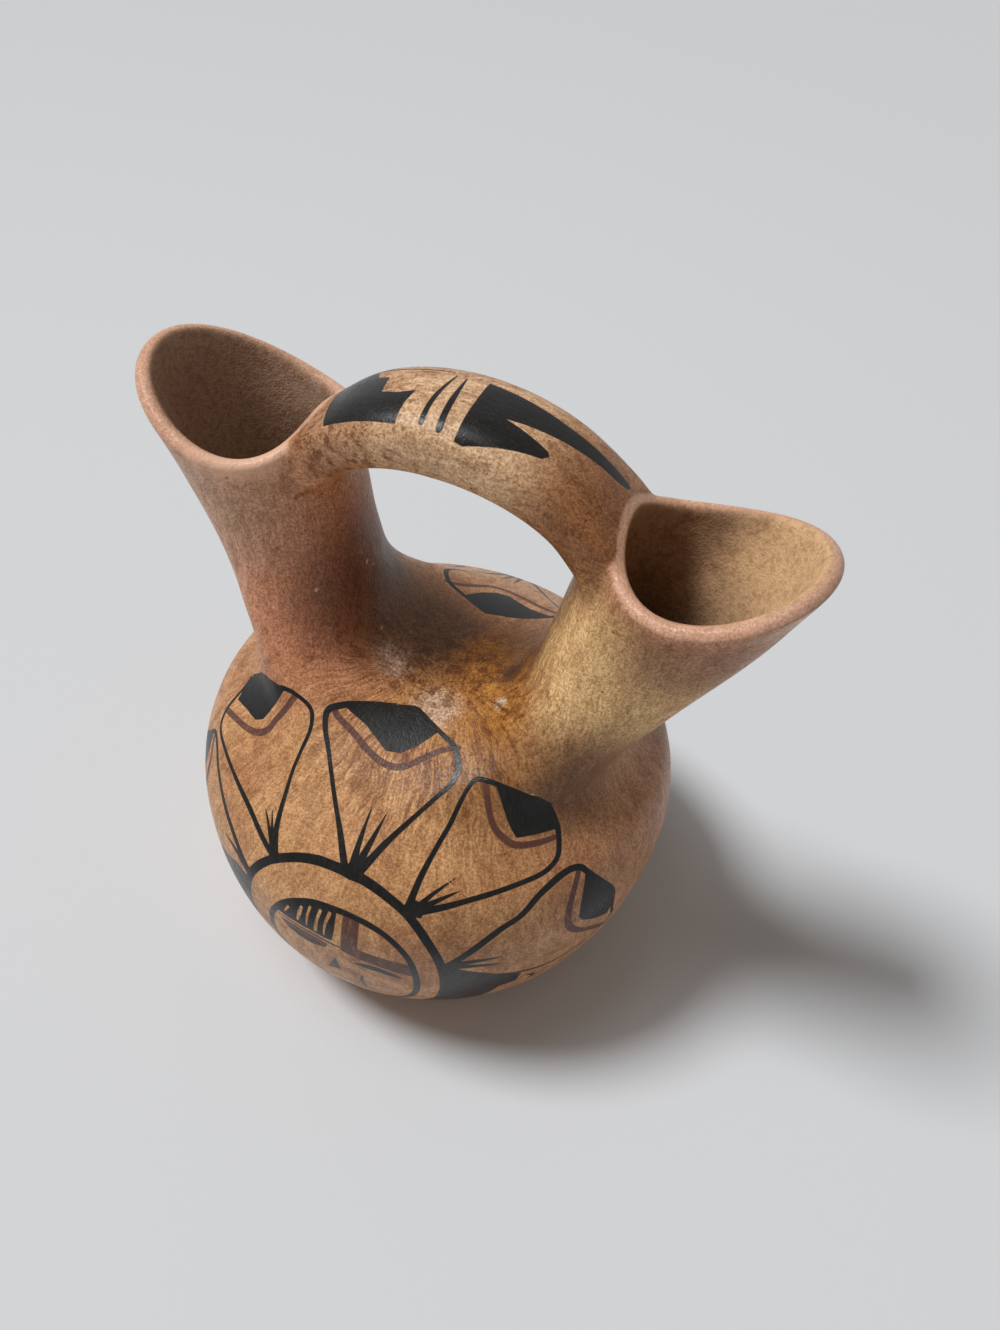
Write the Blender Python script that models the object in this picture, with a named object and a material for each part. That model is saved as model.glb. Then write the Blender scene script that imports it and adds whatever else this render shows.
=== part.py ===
"""Wedding vase in fired clay: a round body, two leaning necks with pulled lips, and a strap.

Metres, +Z up. The vase stands on Z = 0 with its body centred on the Z axis. The mouths
point along +X and -X, and the front of the vase faces -Y. Every piece of clay that is
formed by itself and then luted on is one closed solid, with a fine seam to its neighbours.
"""
import math

import bmesh
import bpy
import numpy as np

for item in list(bpy.data.objects):
    bpy.data.objects.remove(item, do_unlink=True)

# Clay
WALL = 0.0043
FLOOR = 0.0065
SEAM = 0.0003

# Body
BASE_RADIUS = 0.0440
BODY_RADIUS = 0.0714
WIDEST_HEIGHT = 0.0580
DOME_RISE = 0.0436
SHOULDER_LATITUDE = math.radians(47.0)
SHOULDER_SPREAD = 0.0065
BASE_DISH_ANGLE = math.radians(40.0)

# Necks: three cross-sections, each by its distance from the middle, its height above the
# saddle, its half-lengths along and across the spouts, and its tilt towards the outside
COLLAR_OFFSET = 0.0380
COLLAR_LIFT = 0.0012
COLLAR_REACH = 0.0180
COLLAR_HALF_WIDTH = 0.0300
COLLAR_TILT = math.radians(6.0)
WAIST_OFFSET = 0.0447
WAIST_LIFT = 0.0196
WAIST_REACH = 0.0195
WAIST_HALF_WIDTH = 0.0232
WAIST_TILT = math.radians(18.0)
THROAT_OFFSET = 0.0545
THROAT_LIFT = 0.0470
THROAT_REACH = 0.0241
THROAT_HALF_WIDTH = 0.0222
THROAT_TILT = math.radians(5.0)

# Mouths: a pear-shaped rim whose two ends stand higher than its sides
MOUTH_OFFSET = 0.0578
MOUTH_LIFT = 0.0638
MOUTH_HALF_LENGTH = 0.0232
MOUTH_PULL = 0.0040
MOUTH_HALF_WIDTH = 0.0222
MOUTH_PEAR = 0.0033
MOUTH_TIP_RISE = 0.0017
MOUTH_DIP = 0.0051

# Handle
HANDLE_TOP_LIFT = 0.0830
HANDLE_THICKNESS = 0.0190
HANDLE_WIDTH = 0.0310
HANDLE_SQUARENESS = 2.6
HANDLE_CORNER = math.radians(38.0)
HANDLE_ROOT_SHARE = 0.35
HANDLE_ROOT_ROUNDING = 2.6

# Mesh fineness: columns in a quarter of the body's round, and rings of each stretch
QUARTER = 10
LOWER_RINGS = 9
UPPER_RINGS = 5
BLEND_RINGS = 2
BLEND_PASSES = 6
BLEND_STRENGTH = 0.5
COLLAR_RINGS = 4
WAIST_RINGS = 3
THROAT_RINGS = 4
MOUTH_RINGS = 4
LIP_RINGS = 4
HANDLE_RINGS = 12
HANDLE_HALF_COLUMNS = 4
CREASE = math.radians(50.0)
MERGE_DISTANCE = 0.0001

# Follows from the sizes above
SADDLE_HEIGHT = WIDEST_HEIGHT + DOME_RISE
AROUND_BODY = 4 * QUARTER
AROUND_NECK = 3 * QUARTER
SADDLE_TURN = 2.0 * math.pi * QUARTER / AROUND_NECK
BASE_DISH_RINGS = max(1, round(LOWER_RINGS * BASE_DISH_ANGLE / math.radians(90.0)))
NECK_TOP_RING = COLLAR_RINGS + WAIST_RINGS + THROAT_RINGS
LIP_SEAM_RING = NECK_TOP_RING + MOUTH_RINGS // 2

MIRROR = np.array([-1.0, 1.0, 1.0])

TAN = (0.60, 0.34, 0.17)
BUFF = (0.66, 0.42, 0.24)
ROSE = (0.64, 0.36, 0.24)
UMBER = (0.45, 0.24, 0.11)


def unit(vectors):
    """Vectors of length one along the last axis."""
    return vectors / np.linalg.norm(vectors, axis=-1, keepdims=True)


def ease(x):
    """Smooth step from 0 at 0 to 1 at 1."""
    x = np.clip(x, 0.0, 1.0)
    return x * x * (3.0 - 2.0 * x)


def body_ring(latitude, angle):
    """Points of the body's outside: latitude is 0 at the widest level and positive above."""
    angle = np.asarray(angle, float)
    if latitude < 0.0:
        radius = BASE_RADIUS + (BODY_RADIUS - BASE_RADIUS) * math.cos(latitude)
        height = WIDEST_HEIGHT * (1.0 + math.sin(latitude))
        spread = 0.0
    else:
        radius = BODY_RADIUS * math.cos(latitude)
        height = WIDEST_HEIGHT + DOME_RISE * math.sin(latitude)
        spread = SHOULDER_SPREAD * (math.sin(latitude) / math.sin(SHOULDER_LATITUDE)) ** 2
    return np.stack([(radius + spread) * np.cos(angle), radius * np.sin(angle),
                     np.full(angle.shape, height)], axis=-1)


def body_rings():
    """Rings of the body's outside, from the foot to the shoulder."""
    angles = np.arange(AROUND_BODY) * (2.0 * math.pi / AROUND_BODY)
    lower = [-math.radians(90.0) * (1.0 - k / LOWER_RINGS) for k in range(LOWER_RINGS)]
    upper = [SHOULDER_LATITUDE * k / UPPER_RINGS for k in range(UPPER_RINGS + 1)]
    return np.array([body_ring(latitude, angles) for latitude in lower + upper])


def neck_foot():
    """Loop where the +X neck leaves the body, and the loop just before it.

    Up to SADDLE_TURN to each side the foot follows the shoulder ring. The rest is the saddle,
    an arched line across the top of the body that both necks share.
    """
    turn = np.arange(AROUND_NECK) * (2.0 * math.pi / AROUND_NECK)
    turn = np.where(turn > math.pi, turn - 2.0 * math.pi, turn)
    at_corner = np.isclose(np.abs(turn), SADDLE_TURN)
    on_ring = (np.abs(turn) < SADDLE_TURN) | at_corner
    angle = turn * (math.radians(90.0) / SADDLE_TURN)
    foot = body_ring(SHOULDER_LATITUDE, angle)
    before = body_ring(SHOULDER_LATITUDE * (1.0 - 1.0 / UPPER_RINGS), angle)
    half_width = BODY_RADIUS * math.cos(SHOULDER_LATITUDE)
    shoulder_height = WIDEST_HEIGHT + DOME_RISE * math.sin(SHOULDER_LATITUDE)
    across = np.sign(turn) * (math.pi - np.abs(turn)) / (math.pi - SADDLE_TURN)
    saddle = np.stack([np.zeros_like(across), half_width * across,
                       SADDLE_HEIGHT - (SADDLE_HEIGHT - shoulder_height) * across ** 2], axis=-1)
    foot[~on_ring] = saddle[~on_ring]
    return turn, on_ring, at_corner, foot, before


def neck_section(turn, offset, lift, reach, half_width, tilt):
    """Oval cross-section of the +X neck."""
    along = reach * np.cos(turn)
    return np.stack([offset + along * math.cos(tilt), half_width * np.sin(turn),
                     SADDLE_HEIGHT + lift - along * math.sin(tilt)], axis=-1)


def mouth_crest(turn):
    """Highest line of the rim of the +X mouth."""
    return np.stack([
        MOUTH_OFFSET + MOUTH_HALF_LENGTH * np.cos(turn) + MOUTH_PULL * np.cos(2.0 * turn),
        MOUTH_HALF_WIDTH * np.sin(turn) + MOUTH_PEAR * np.sin(2.0 * turn),
        SADDLE_HEIGHT + MOUTH_LIFT + MOUTH_TIP_RISE * np.cos(turn) + MOUTH_DIP * np.cos(2.0 * turn),
    ], axis=-1)


def through(keys, counts):
    """Rings of a smooth surface that passes through the key loops, counts[i] after loop i."""
    gaps = [np.linalg.norm(b - a, axis=-1, keepdims=True) for a, b in zip(keys, keys[1:])]
    slopes = [(b - a) / gap for a, b, gap in zip(keys, keys[1:], gaps)]
    tangents = [(after * g0 + ahead * g1) / (g0 + g1)
                for ahead, after, g1, g0 in zip(slopes, slopes[1:], gaps[1:], gaps)]
    tangents.append(slopes[-1])
    rings = []
    for k, count in enumerate(counts):
        start, end, gap = keys[k + 1], keys[k + 2], gaps[k + 1]
        for step in range(count):
            s = step / count
            rest = 1.0 - s
            rings.append((1.0 + 2.0 * s) * rest ** 2 * start + s * rest ** 2 * gap * tangents[k]
                         + (1.0 + 2.0 * rest) * s ** 2 * end - rest * s ** 2 * gap * tangents[k + 1])
    return rings + [keys[-1]]


def neck_keys():
    """Key loops of the +X neck: before the foot, foot, collar, waist, throat and rim."""
    turn, on_ring, at_corner, foot, before = neck_foot()
    collar = neck_section(turn, COLLAR_OFFSET, COLLAR_LIFT, COLLAR_REACH,
                          COLLAR_HALF_WIDTH, COLLAR_TILT)
    waist = neck_section(turn, WAIST_OFFSET, WAIST_LIFT, WAIST_REACH,
                         WAIST_HALF_WIDTH, WAIST_TILT)
    throat = neck_section(turn, THROAT_OFFSET, THROAT_LIFT, THROAT_REACH,
                          THROAT_HALF_WIDTH, THROAT_TILT)
    crest = mouth_crest(turn)
    around = np.roll(crest, -1, axis=0) - np.roll(crest, 1, axis=0)
    rise = unit(crest - throat)
    rim = crest + (unit(np.cross(around, rise)) - rise) * (WALL / 2.0)
    other_neck = collar * MIRROR
    before[at_corner] = (before[at_corner] + other_neck[at_corner]) / 2.0
    before[~on_ring] = other_neck[~on_ring]
    return [before, foot, collar, waist, throat, rim]


def start_ring(bm, points):
    """A closed loop of vertices and edges."""
    ring = [bm.verts.new(point) for point in points]
    for a, b in zip(ring, ring[1:] + ring[:1]):
        bm.edges.new((a, b))
    return ring


def draw_out(bm, ring, points, closed=True):
    """Extrudes a row of vertices and sets the new row at the points."""
    pairs = list(zip(ring, ring[1:] + ring[:1])) if closed else list(zip(ring, ring[1:]))
    made = bmesh.ops.extrude_edge_only(bm, edges=[bm.edges.get(pair) for pair in pairs])["geom"]
    fresh = {v for v in made if isinstance(v, bmesh.types.BMVert)}
    row = [next(e.other_vert(v) for e in v.link_edges if e.other_vert(v) in fresh) for v in ring]
    for vertex, point in zip(row, points):
        vertex.co = point
    return row


def places(rings):
    """Places of the vertices of each ring."""
    return np.array([[vertex.co for vertex in ring] for ring in rings])


def normals(rings):
    """Normals of the vertices of each ring."""
    return np.array([[vertex.normal for vertex in ring] for ring in rings])


def clay_walls():
    """Outer and inner rings of the body and of the +X neck.

    One skin is drawn up from the foot to the shoulder. There the ring parts in two along the
    saddle, and each half is drawn on as a neck. The skin is smoothed where the necks rise,
    and the inner wall lies a wall's depth inside it.
    """
    bm = bmesh.new()
    body = body_rings()
    rows = [start_ring(bm, body[0])]
    for points in body[1:]:
        rows.append(draw_out(bm, rows[-1], points))
    shoulder = rows[-1]
    keys = neck_keys()
    saddle = [bm.verts.new(point) for point in keys[1][QUARTER + 1:2 * QUARTER]]
    line = [shoulder[QUARTER]] + saddle + [shoulder[3 * QUARTER]]
    for a, b in zip(line, line[1:]):
        bm.edges.new((a, b))
    drawn = through(keys, [COLLAR_RINGS, WAIST_RINGS, THROAT_RINGS, MOUTH_RINGS])
    last_third = range(2 * QUARTER + 1, AROUND_NECK)
    right = [shoulder[:QUARTER] + line + [shoulder[j + QUARTER] for j in last_third]]
    left = [shoulder[2 * QUARTER:QUARTER:-1] + line + [shoulder[5 * QUARTER - j] for j in last_third]]
    for points in drawn[1:]:
        right.append(draw_out(bm, right[-1], points))
        left.append(draw_out(bm, left[-1], points * MIRROR))
    blended = set(saddle)
    feet = slice(1, COLLAR_RINGS + BLEND_RINGS)
    for ring in rows[-BLEND_RINGS:] + right[feet] + left[feet]:
        blended.update(ring)
    for _ in range(BLEND_PASSES):
        bmesh.ops.smooth_vert(bm, verts=list(blended), factor=BLEND_STRENGTH,
                              use_axis_x=True, use_axis_y=True, use_axis_z=True)
    bmesh.ops.recalc_face_normals(bm, faces=bm.faces)
    bm.normal_update()
    side = 1.0 if rows[LOWER_RINGS][0].normal.x > 0.0 else -1.0
    body_outer, neck_outer = places(rows), places(right)
    depth = np.array([FLOOR + (WALL - FLOOR) * ease(k / BASE_DISH_RINGS) for k in range(len(rows))])
    body_inner = body_outer - side * normals(rows) * depth[:, None, None]
    body_inner[0, :, 2] = FLOOR
    neck_inner = neck_outer - side * normals(right) * WALL
    bm.free()
    return body_outer, body_inner, neck_outer, neck_inner


def lip_roll(outer_rings, inner_rings):
    """Rings of the rounded lip between the outer and the inner wall, with its crest."""
    outer, inner = outer_rings[-1], inner_rings[-1]
    middle = (outer + inner) / 2.0
    rise = unit(outer - outer_rings[-2])
    across = outer - middle
    height = np.linalg.norm(across, axis=-1, keepdims=True)
    angles = [math.pi * k / LIP_RINGS for k in range(1, LIP_RINGS)]
    return [middle + across * math.cos(a) + rise * height * math.sin(a) for a in angles]


BODY_OUTER, BODY_INNER, NECK_OUTER, NECK_INNER = clay_walls()
LIP = lip_roll(NECK_OUTER, NECK_INNER)


def drawn_back(ring, neighbour):
    """The ring moved by half a seam towards its neighbour, square to its own line."""
    along = unit(np.roll(ring, -1, axis=0) - np.roll(ring, 1, axis=0))
    step = neighbour - ring
    step = step - along * np.sum(step * along, axis=-1, keepdims=True)
    return ring + unit(step) * (SEAM / 2.0)


def part_off(rings, low, high, open_low, open_high):
    """Rings low to high of a wall, drawn back by half a seam at each end that meets a neighbour."""
    run = [ring.copy() for ring in rings[low:high + 1]]
    if open_low:
        run[0] = drawn_back(run[0], run[1])
    if open_high:
        run[-1] = drawn_back(run[-1], run[-2])
    return run


def clay(name, colour, roughness):
    """A fired and stone-polished clay."""
    material = bpy.data.materials.new(name)
    material.use_nodes = True
    shader = material.node_tree.nodes["Principled BSDF"]
    shader.inputs["Base Color"].default_value = (*colour, 1.0)
    shader.inputs["Roughness"].default_value = roughness
    shader.inputs["Metallic"].default_value = 0.0
    return material


def finish(name, bm, material):
    """Turns the bmesh into a smooth-shaded object with outward faces."""
    bmesh.ops.recalc_face_normals(bm, faces=bm.faces)
    mesh = bpy.data.meshes.new(name)
    bm.to_mesh(mesh)
    bm.free()
    mesh.shade_smooth()
    mesh.set_sharp_from_angle(angle=CREASE)
    mesh.materials.append(material)
    item = bpy.data.objects.new(name, mesh)
    bpy.context.scene.collection.objects.link(item)
    return item


def hoop(name, outer, inner, material, crown=()):
    """Closed wall: up the outer rings, over any crown rings, down the inner ones and shut."""
    loops = list(outer) + list(crown) + list(inner)[::-1]
    bm = bmesh.new()
    first = start_ring(bm, loops[0])
    ring = first
    for points in loops[1:] + [loops[0]]:
        ring = draw_out(bm, ring, points)
    bmesh.ops.weld_verts(bm, targetmap=dict(zip(ring, first)))
    return finish(name, bm, material)


def base(material):
    """Dish with a flat foot, the start of the pot."""
    outer = part_off(BODY_OUTER, 0, BASE_DISH_RINGS, False, True)
    inner = part_off(BODY_INNER, 0, BASE_DISH_RINGS, False, True)
    bm = bmesh.new()
    first = start_ring(bm, outer[0])
    ring = first
    for points in outer[1:] + inner[::-1]:
        ring = draw_out(bm, ring, points)
    bm.faces.new(first)
    bm.faces.new(ring)
    return finish("base", bm, material)


def body_wall(name, low, high, material):
    """One band of the body, open at the top and at the bottom."""
    return hoop(name, part_off(BODY_OUTER, low, high, True, True),
                part_off(BODY_INNER, low, high, True, True), material)


def on_side(rings, side):
    """Rings of the +X neck as they lie on the side 1 or -1."""
    return [ring if side > 0.0 else ring * MIRROR for ring in rings]


def neck(name, side, material):
    """Leaning tube from the body to the lip."""
    outer = part_off(NECK_OUTER, 0, LIP_SEAM_RING, True, True)
    inner = part_off(NECK_INNER, 0, LIP_SEAM_RING, True, True)
    return hoop(name, on_side(outer, side), on_side(inner, side), material)


def lip(name, side, material):
    """Last coil of the neck, pulled out and rounded over."""
    top = len(NECK_OUTER) - 1
    outer = part_off(NECK_OUTER, LIP_SEAM_RING, top, True, False)
    inner = part_off(NECK_INNER, LIP_SEAM_RING, top, True, False)
    return hoop(name, on_side(outer, side), on_side(inner, side), material, on_side(LIP, side))


def handle_root():
    """Patch of the +X neck and lip that the strap is luted to, by rows from low to high.

    The patch is as wide as the strap, ends at the lip's crest, and is rounded below.
    """
    grid = np.array(list(NECK_OUTER[NECK_TOP_RING:]) + LIP[:LIP_RINGS // 2])
    around = np.roll(grid, -1, axis=1) - np.roll(grid, 1, axis=1)
    rising = np.gradient(grid, axis=0)
    off_wall = grid + unit(np.cross(around, rising)) * SEAM
    levels = np.arange(len(grid), dtype=float)
    patch = []
    for k in range(-HANDLE_HALF_COLUMNS, HANDLE_HALF_COLUMNS + 1):
        column = off_wall[:, AROUND_NECK // 2 + k]
        share = 1.0 - levels / levels[-1]
        lifted = levels + HANDLE_ROOT_ROUNDING * share * abs(k / HANDLE_HALF_COLUMNS) ** 3
        patch.append(np.stack([np.interp(lifted, levels, column[:, axis]) for axis in range(3)],
                              axis=-1))
    return np.array(patch).transpose(1, 0, 2)


def strap_section(share, inner_spring, outer_spring):
    """Middle of the strap and its half-height, from the root at 0 to the crown at 1."""
    top_height = SADDLE_HEIGHT + HANDLE_TOP_LIFT
    under = share * math.pi / 2.0
    under_rise = top_height - HANDLE_THICKNESS - inner_spring[2]
    low = np.array([inner_spring[0] * math.cos(under), 0.0,
                    inner_spring[2] + under_rise * math.sin(under)])
    top_rise = top_height - inner_spring[2]
    start = math.asin((outer_spring[2] - inner_spring[2]) / top_rise)
    over = start + (math.pi / 2.0 - start) * share
    high = np.array([outer_spring[0] * math.cos(over) / math.cos(start), 0.0,
                     inner_spring[2] + top_rise * math.sin(over)])
    return (high + low) / 2.0, (high - low) / 2.0


def strap_angles(columns, rows):
    """Angles round the strap's section for the loop of the root patch, from its low edge."""
    corner = HANDLE_CORNER
    edges = [(math.pi + corner, 2.0 * math.pi - corner, columns), (-corner, corner, rows),
             (corner, math.pi - corner, columns), (math.pi - corner, math.pi + corner, rows)]
    return [a + (b - a) * k / count for a, b, count in edges for k in range(count)]


def handle(material):
    """Broad strap, made as one half and mirrored at its crown."""
    patch = handle_root()
    rows, columns = patch.shape[0] - 1, patch.shape[1] - 1
    bm = bmesh.new()
    row = [bm.verts.new(point) for point in patch[0]]
    for a, b in zip(row, row[1:]):
        bm.edges.new((a, b))
    grid = [row]
    for points in patch[1:]:
        grid.append(draw_out(bm, grid[-1], points, closed=False))
    ring = (grid[0][:-1] + [line[-1] for line in grid[:-1]] + grid[-1][:0:-1]
            + [line[0] for line in grid[:0:-1]])
    root = np.array([vertex.co for vertex in ring])
    angles = np.array(strap_angles(columns, rows))
    power = 2.0 / HANDLE_SQUARENESS
    across = np.sign(np.cos(angles)) * np.abs(np.cos(angles)) ** power
    upward = np.sign(np.sin(angles)) * np.abs(np.sin(angles)) ** power
    side = np.sign(root[len(grid[0]) - 1, 1])
    middle = HANDLE_HALF_COLUMNS
    ends = [patch[0][middle], patch[-1][middle]]

    def section(share):
        centre, half_height = strap_section(share, *ends)
        loop = centre + upward[:, None] * half_height
        loop[:, 1] += side * across * HANDLE_WIDTH / 2.0
        return loop

    pull = root - section(0.0)
    for k in range(1, HANDLE_RINGS + 1):
        share = k / HANDLE_RINGS
        ring = draw_out(bm, ring, section(share) + pull * (1.0 - ease(share / HANDLE_ROOT_SHARE)))
    item = finish("handle", bm, material)
    mirror = item.modifiers.new("other half", "MIRROR")
    mirror.use_axis = (True, False, False)
    mirror.merge_threshold = MERGE_DISTANCE
    return item


base(clay("base_clay", TAN, 0.45))
body_wall("lower_wall", BASE_DISH_RINGS, LOWER_RINGS, clay("body_clay", TAN, 0.38))
body_wall("shoulder", LOWER_RINGS, LOWER_RINGS + UPPER_RINGS, clay("shoulder_clay", BUFF, 0.36))
for label, direction in (("left", -1.0), ("right", 1.0)):
    neck("neck_" + label, direction, clay("neck_clay_" + label, UMBER, 0.40))
    lip("lip_" + label, direction, clay("lip_clay_" + label, ROSE, 0.35))
handle(clay("handle_clay", BUFF, 0.36))
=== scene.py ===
import math

import bmesh
import bpy
import numpy as np
from mathutils import Matrix, Vector, noise


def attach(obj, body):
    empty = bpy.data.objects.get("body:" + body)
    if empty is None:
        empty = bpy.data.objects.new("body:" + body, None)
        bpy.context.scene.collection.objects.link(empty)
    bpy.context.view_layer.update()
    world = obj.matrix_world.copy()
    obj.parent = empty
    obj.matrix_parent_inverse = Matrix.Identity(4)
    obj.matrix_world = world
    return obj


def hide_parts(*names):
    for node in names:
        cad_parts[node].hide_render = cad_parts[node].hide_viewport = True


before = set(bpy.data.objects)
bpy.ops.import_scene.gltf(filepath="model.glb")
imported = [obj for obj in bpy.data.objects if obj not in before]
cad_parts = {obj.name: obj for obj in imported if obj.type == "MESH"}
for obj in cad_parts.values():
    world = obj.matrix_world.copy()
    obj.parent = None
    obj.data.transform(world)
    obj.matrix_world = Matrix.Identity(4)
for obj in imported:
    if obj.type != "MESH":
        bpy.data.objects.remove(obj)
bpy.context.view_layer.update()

# Skin of the vase. The pot is built up piece on piece while the clay is soft, then scraped and
# stone-polished as one, so no joint shows. Its outside and inside are drawn here as one
# surface, and each piece of clay below is cut out of that surface.
WALL = 0.0043
FLOOR = 0.0065
FOOT_HOLLOW = 0.0005
BASE_RADIUS = 0.0440
BODY_RADIUS = 0.0714
WIDEST_HEIGHT = 0.0580
DOME_RISE = 0.0436
SHOULDER_LATITUDE = math.radians(47.0)
SHOULDER_SPREAD = 0.0065
SADDLE_HEIGHT = WIDEST_HEIGHT + DOME_RISE

# Cross-sections of a neck: distance from the middle, height above the saddle, half-lengths
# along and across the spouts, and tilt towards the outside
COLLAR = (0.0380, 0.0012, 0.0180, 0.0300, math.radians(6.0))
WAIST = (0.0447, 0.0196, 0.0195, 0.0232, math.radians(18.0))
THROAT = (0.0545, 0.0470, 0.0241, 0.0222, math.radians(5.0))
MOUTH_OFFSET = 0.0578
MOUTH_LIFT = 0.0638
MOUTH_HALF_LENGTH = 0.0232
MOUTH_PULL = 0.0040
MOUTH_HALF_WIDTH = 0.0222
MOUTH_PEAR = 0.0033
MOUTH_TIP_RISE = 0.0017
MOUTH_DIP = 0.0051

STRAP_TOP = SADDLE_HEIGHT + 0.0830
STRAP_THICKNESS = 0.0190
STRAP_WIDTH = 0.0310
STRAP_SQUARENESS = 2.6
STRAP_CORNER = math.radians(38.0)
ROOT_SHARE = 0.35

QUARTER = 10
AROUND_BODY = 4 * QUARTER
AROUND_NECK = 3 * QUARTER
SADDLE_TURN = math.radians(120.0)
DISH_RINGS, LOWER_RINGS, UPPER_RINGS = 4, 9, 5
NECK_COUNTS = [4, 3, 4, 4]
NECK_TOP_RING = 11
LIP_SEAM_RING = 13
LIP_BEGINS = NECK_TOP_RING - 2
LIP_RINGS = 4
STRAP_RINGS = 12
BLENDED_RINGS = 5
HALF_COLUMNS = 4
FINENESS = 2
ROOT_STEPS = 2 * HALF_COLUMNS * 2 ** FINENESS
MIRROR = np.array([-1.0, 1.0, 1.0])
BASE, LOWER_WALL, SHOULDER, NECK_RIGHT, NECK_LEFT, LIP_RIGHT, LIP_LEFT, HANDLE = range(8)


def unit(vectors):
    return vectors / np.linalg.norm(vectors, axis=-1, keepdims=True)


def ease(x):
    x = np.clip(x, 0.0, 1.0)
    return x * x * (3.0 - 2.0 * x)


def body_ring(latitude, angle):
    """Points round the body: latitude is 0 at the widest level and positive above."""
    angle = np.asarray(angle, float)
    if latitude < 0.0:
        radius = BASE_RADIUS + (BODY_RADIUS - BASE_RADIUS) * math.cos(latitude)
        height = WIDEST_HEIGHT * (1.0 + math.sin(latitude))
        spread = 0.0
    else:
        radius = BODY_RADIUS * math.cos(latitude)
        height = WIDEST_HEIGHT + DOME_RISE * math.sin(latitude)
        spread = SHOULDER_SPREAD * (math.sin(latitude) / math.sin(SHOULDER_LATITUDE)) ** 2
    return np.stack([(radius + spread) * np.cos(angle), radius * np.sin(angle),
                     np.full(angle.shape, height)], axis=-1)


def body_rings():
    angles = np.arange(AROUND_BODY) * (2.0 * math.pi / AROUND_BODY)
    lower = [-math.radians(90.0) * (1.0 - k / LOWER_RINGS) for k in range(LOWER_RINGS)]
    upper = [SHOULDER_LATITUDE * k / UPPER_RINGS for k in range(UPPER_RINGS + 1)]
    return np.array([body_ring(latitude, angles) for latitude in lower + upper])


def neck_section(turn, offset, lift, reach, half_width, tilt):
    along = reach * np.cos(turn)
    return np.stack([offset + along * math.cos(tilt), half_width * np.sin(turn),
                     SADDLE_HEIGHT + lift - along * math.sin(tilt)], axis=-1)


def neck_keys():
    """Key loops of the +X neck: before the foot, foot, collar, waist, throat and rim.

    The foot follows the shoulder ring, and between the necks the saddle that both share.
    """
    turn = np.arange(AROUND_NECK) * (2.0 * math.pi / AROUND_NECK)
    turn = np.where(turn > math.pi, turn - 2.0 * math.pi, turn)
    corner = np.isclose(np.abs(turn), SADDLE_TURN)
    on_ring = (np.abs(turn) < SADDLE_TURN) | corner
    angle = turn * (math.radians(90.0) / SADDLE_TURN)
    foot = body_ring(SHOULDER_LATITUDE, angle)
    before = body_ring(SHOULDER_LATITUDE * (1.0 - 1.0 / UPPER_RINGS), angle)
    half_width = BODY_RADIUS * math.cos(SHOULDER_LATITUDE)
    shoulder_height = WIDEST_HEIGHT + DOME_RISE * math.sin(SHOULDER_LATITUDE)
    across = np.sign(turn) * (math.pi - np.abs(turn)) / (math.pi - SADDLE_TURN)
    saddle = np.stack([np.zeros_like(across), half_width * across,
                       SADDLE_HEIGHT - (SADDLE_HEIGHT - shoulder_height) * across ** 2], axis=-1)
    foot[~on_ring] = saddle[~on_ring]
    collar, waist, throat = (neck_section(turn, *section) for section in (COLLAR, WAIST, THROAT))
    crest = np.stack([
        MOUTH_OFFSET + MOUTH_HALF_LENGTH * np.cos(turn) + MOUTH_PULL * np.cos(2.0 * turn),
        MOUTH_HALF_WIDTH * np.sin(turn) + MOUTH_PEAR * np.sin(2.0 * turn),
        SADDLE_HEIGHT + MOUTH_LIFT + MOUTH_TIP_RISE * np.cos(turn) + MOUTH_DIP * np.cos(2.0 * turn),
    ], axis=-1)
    around = np.roll(crest, -1, axis=0) - np.roll(crest, 1, axis=0)
    rise = unit(crest - throat)
    rim = crest + (unit(np.cross(around, rise)) - rise) * (WALL / 2.0)
    other_neck = collar * MIRROR
    before[corner] = (before[corner] + other_neck[corner]) / 2.0
    before[~on_ring] = other_neck[~on_ring]
    return [before, foot, collar, waist, throat, rim]


def through(keys, counts):
    """Rings of a smooth surface through the key loops, counts[i] of them after loop i + 1."""
    gaps = [np.linalg.norm(b - a, axis=-1, keepdims=True) for a, b in zip(keys, keys[1:])]
    slopes = [(b - a) / gap for a, b, gap in zip(keys, keys[1:], gaps)]
    tangents = [(after * g0 + ahead * g1) / (g0 + g1)
                for ahead, after, g1, g0 in zip(slopes, slopes[1:], gaps[1:], gaps)]
    tangents.append(slopes[-1])
    rings = []
    for k, count in enumerate(counts):
        start, end, gap = keys[k + 1], keys[k + 2], gaps[k + 1]
        for step in range(count):
            s = step / count
            rest = 1.0 - s
            rings.append((1.0 + 2.0 * s) * rest ** 2 * start + s * rest ** 2 * gap * tangents[k]
                         + (1.0 + 2.0 * rest) * s ** 2 * end - rest * s ** 2 * gap * tangents[k + 1])
    return rings + [keys[-1]]


def draw_out(bm, ring, points, piece, closed=True):
    """Extrudes a row of vertices, sets the new row at the points and names its faces' piece."""
    pairs = list(zip(ring, ring[1:] + ring[:1])) if closed else list(zip(ring, ring[1:]))
    made = bmesh.ops.extrude_edge_only(bm, edges=[bm.edges.get(pair) for pair in pairs])["geom"]
    part = bm.faces.layers.int["piece"]
    for item in made:
        if isinstance(item, bmesh.types.BMFace):
            item[part] = piece
    fresh = {item for item in made if isinstance(item, bmesh.types.BMVert)}
    row = [next(e.other_vert(v) for e in v.link_edges if e.other_vert(v) in fresh) for v in ring]
    for vertex, point in zip(row, points):
        vertex.co = point
    return row


def start_ring(bm, points):
    ring = [bm.verts.new(point) for point in points]
    for a, b in zip(ring, ring[1:] + ring[:1]):
        bm.edges.new((a, b))
    return ring


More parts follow.
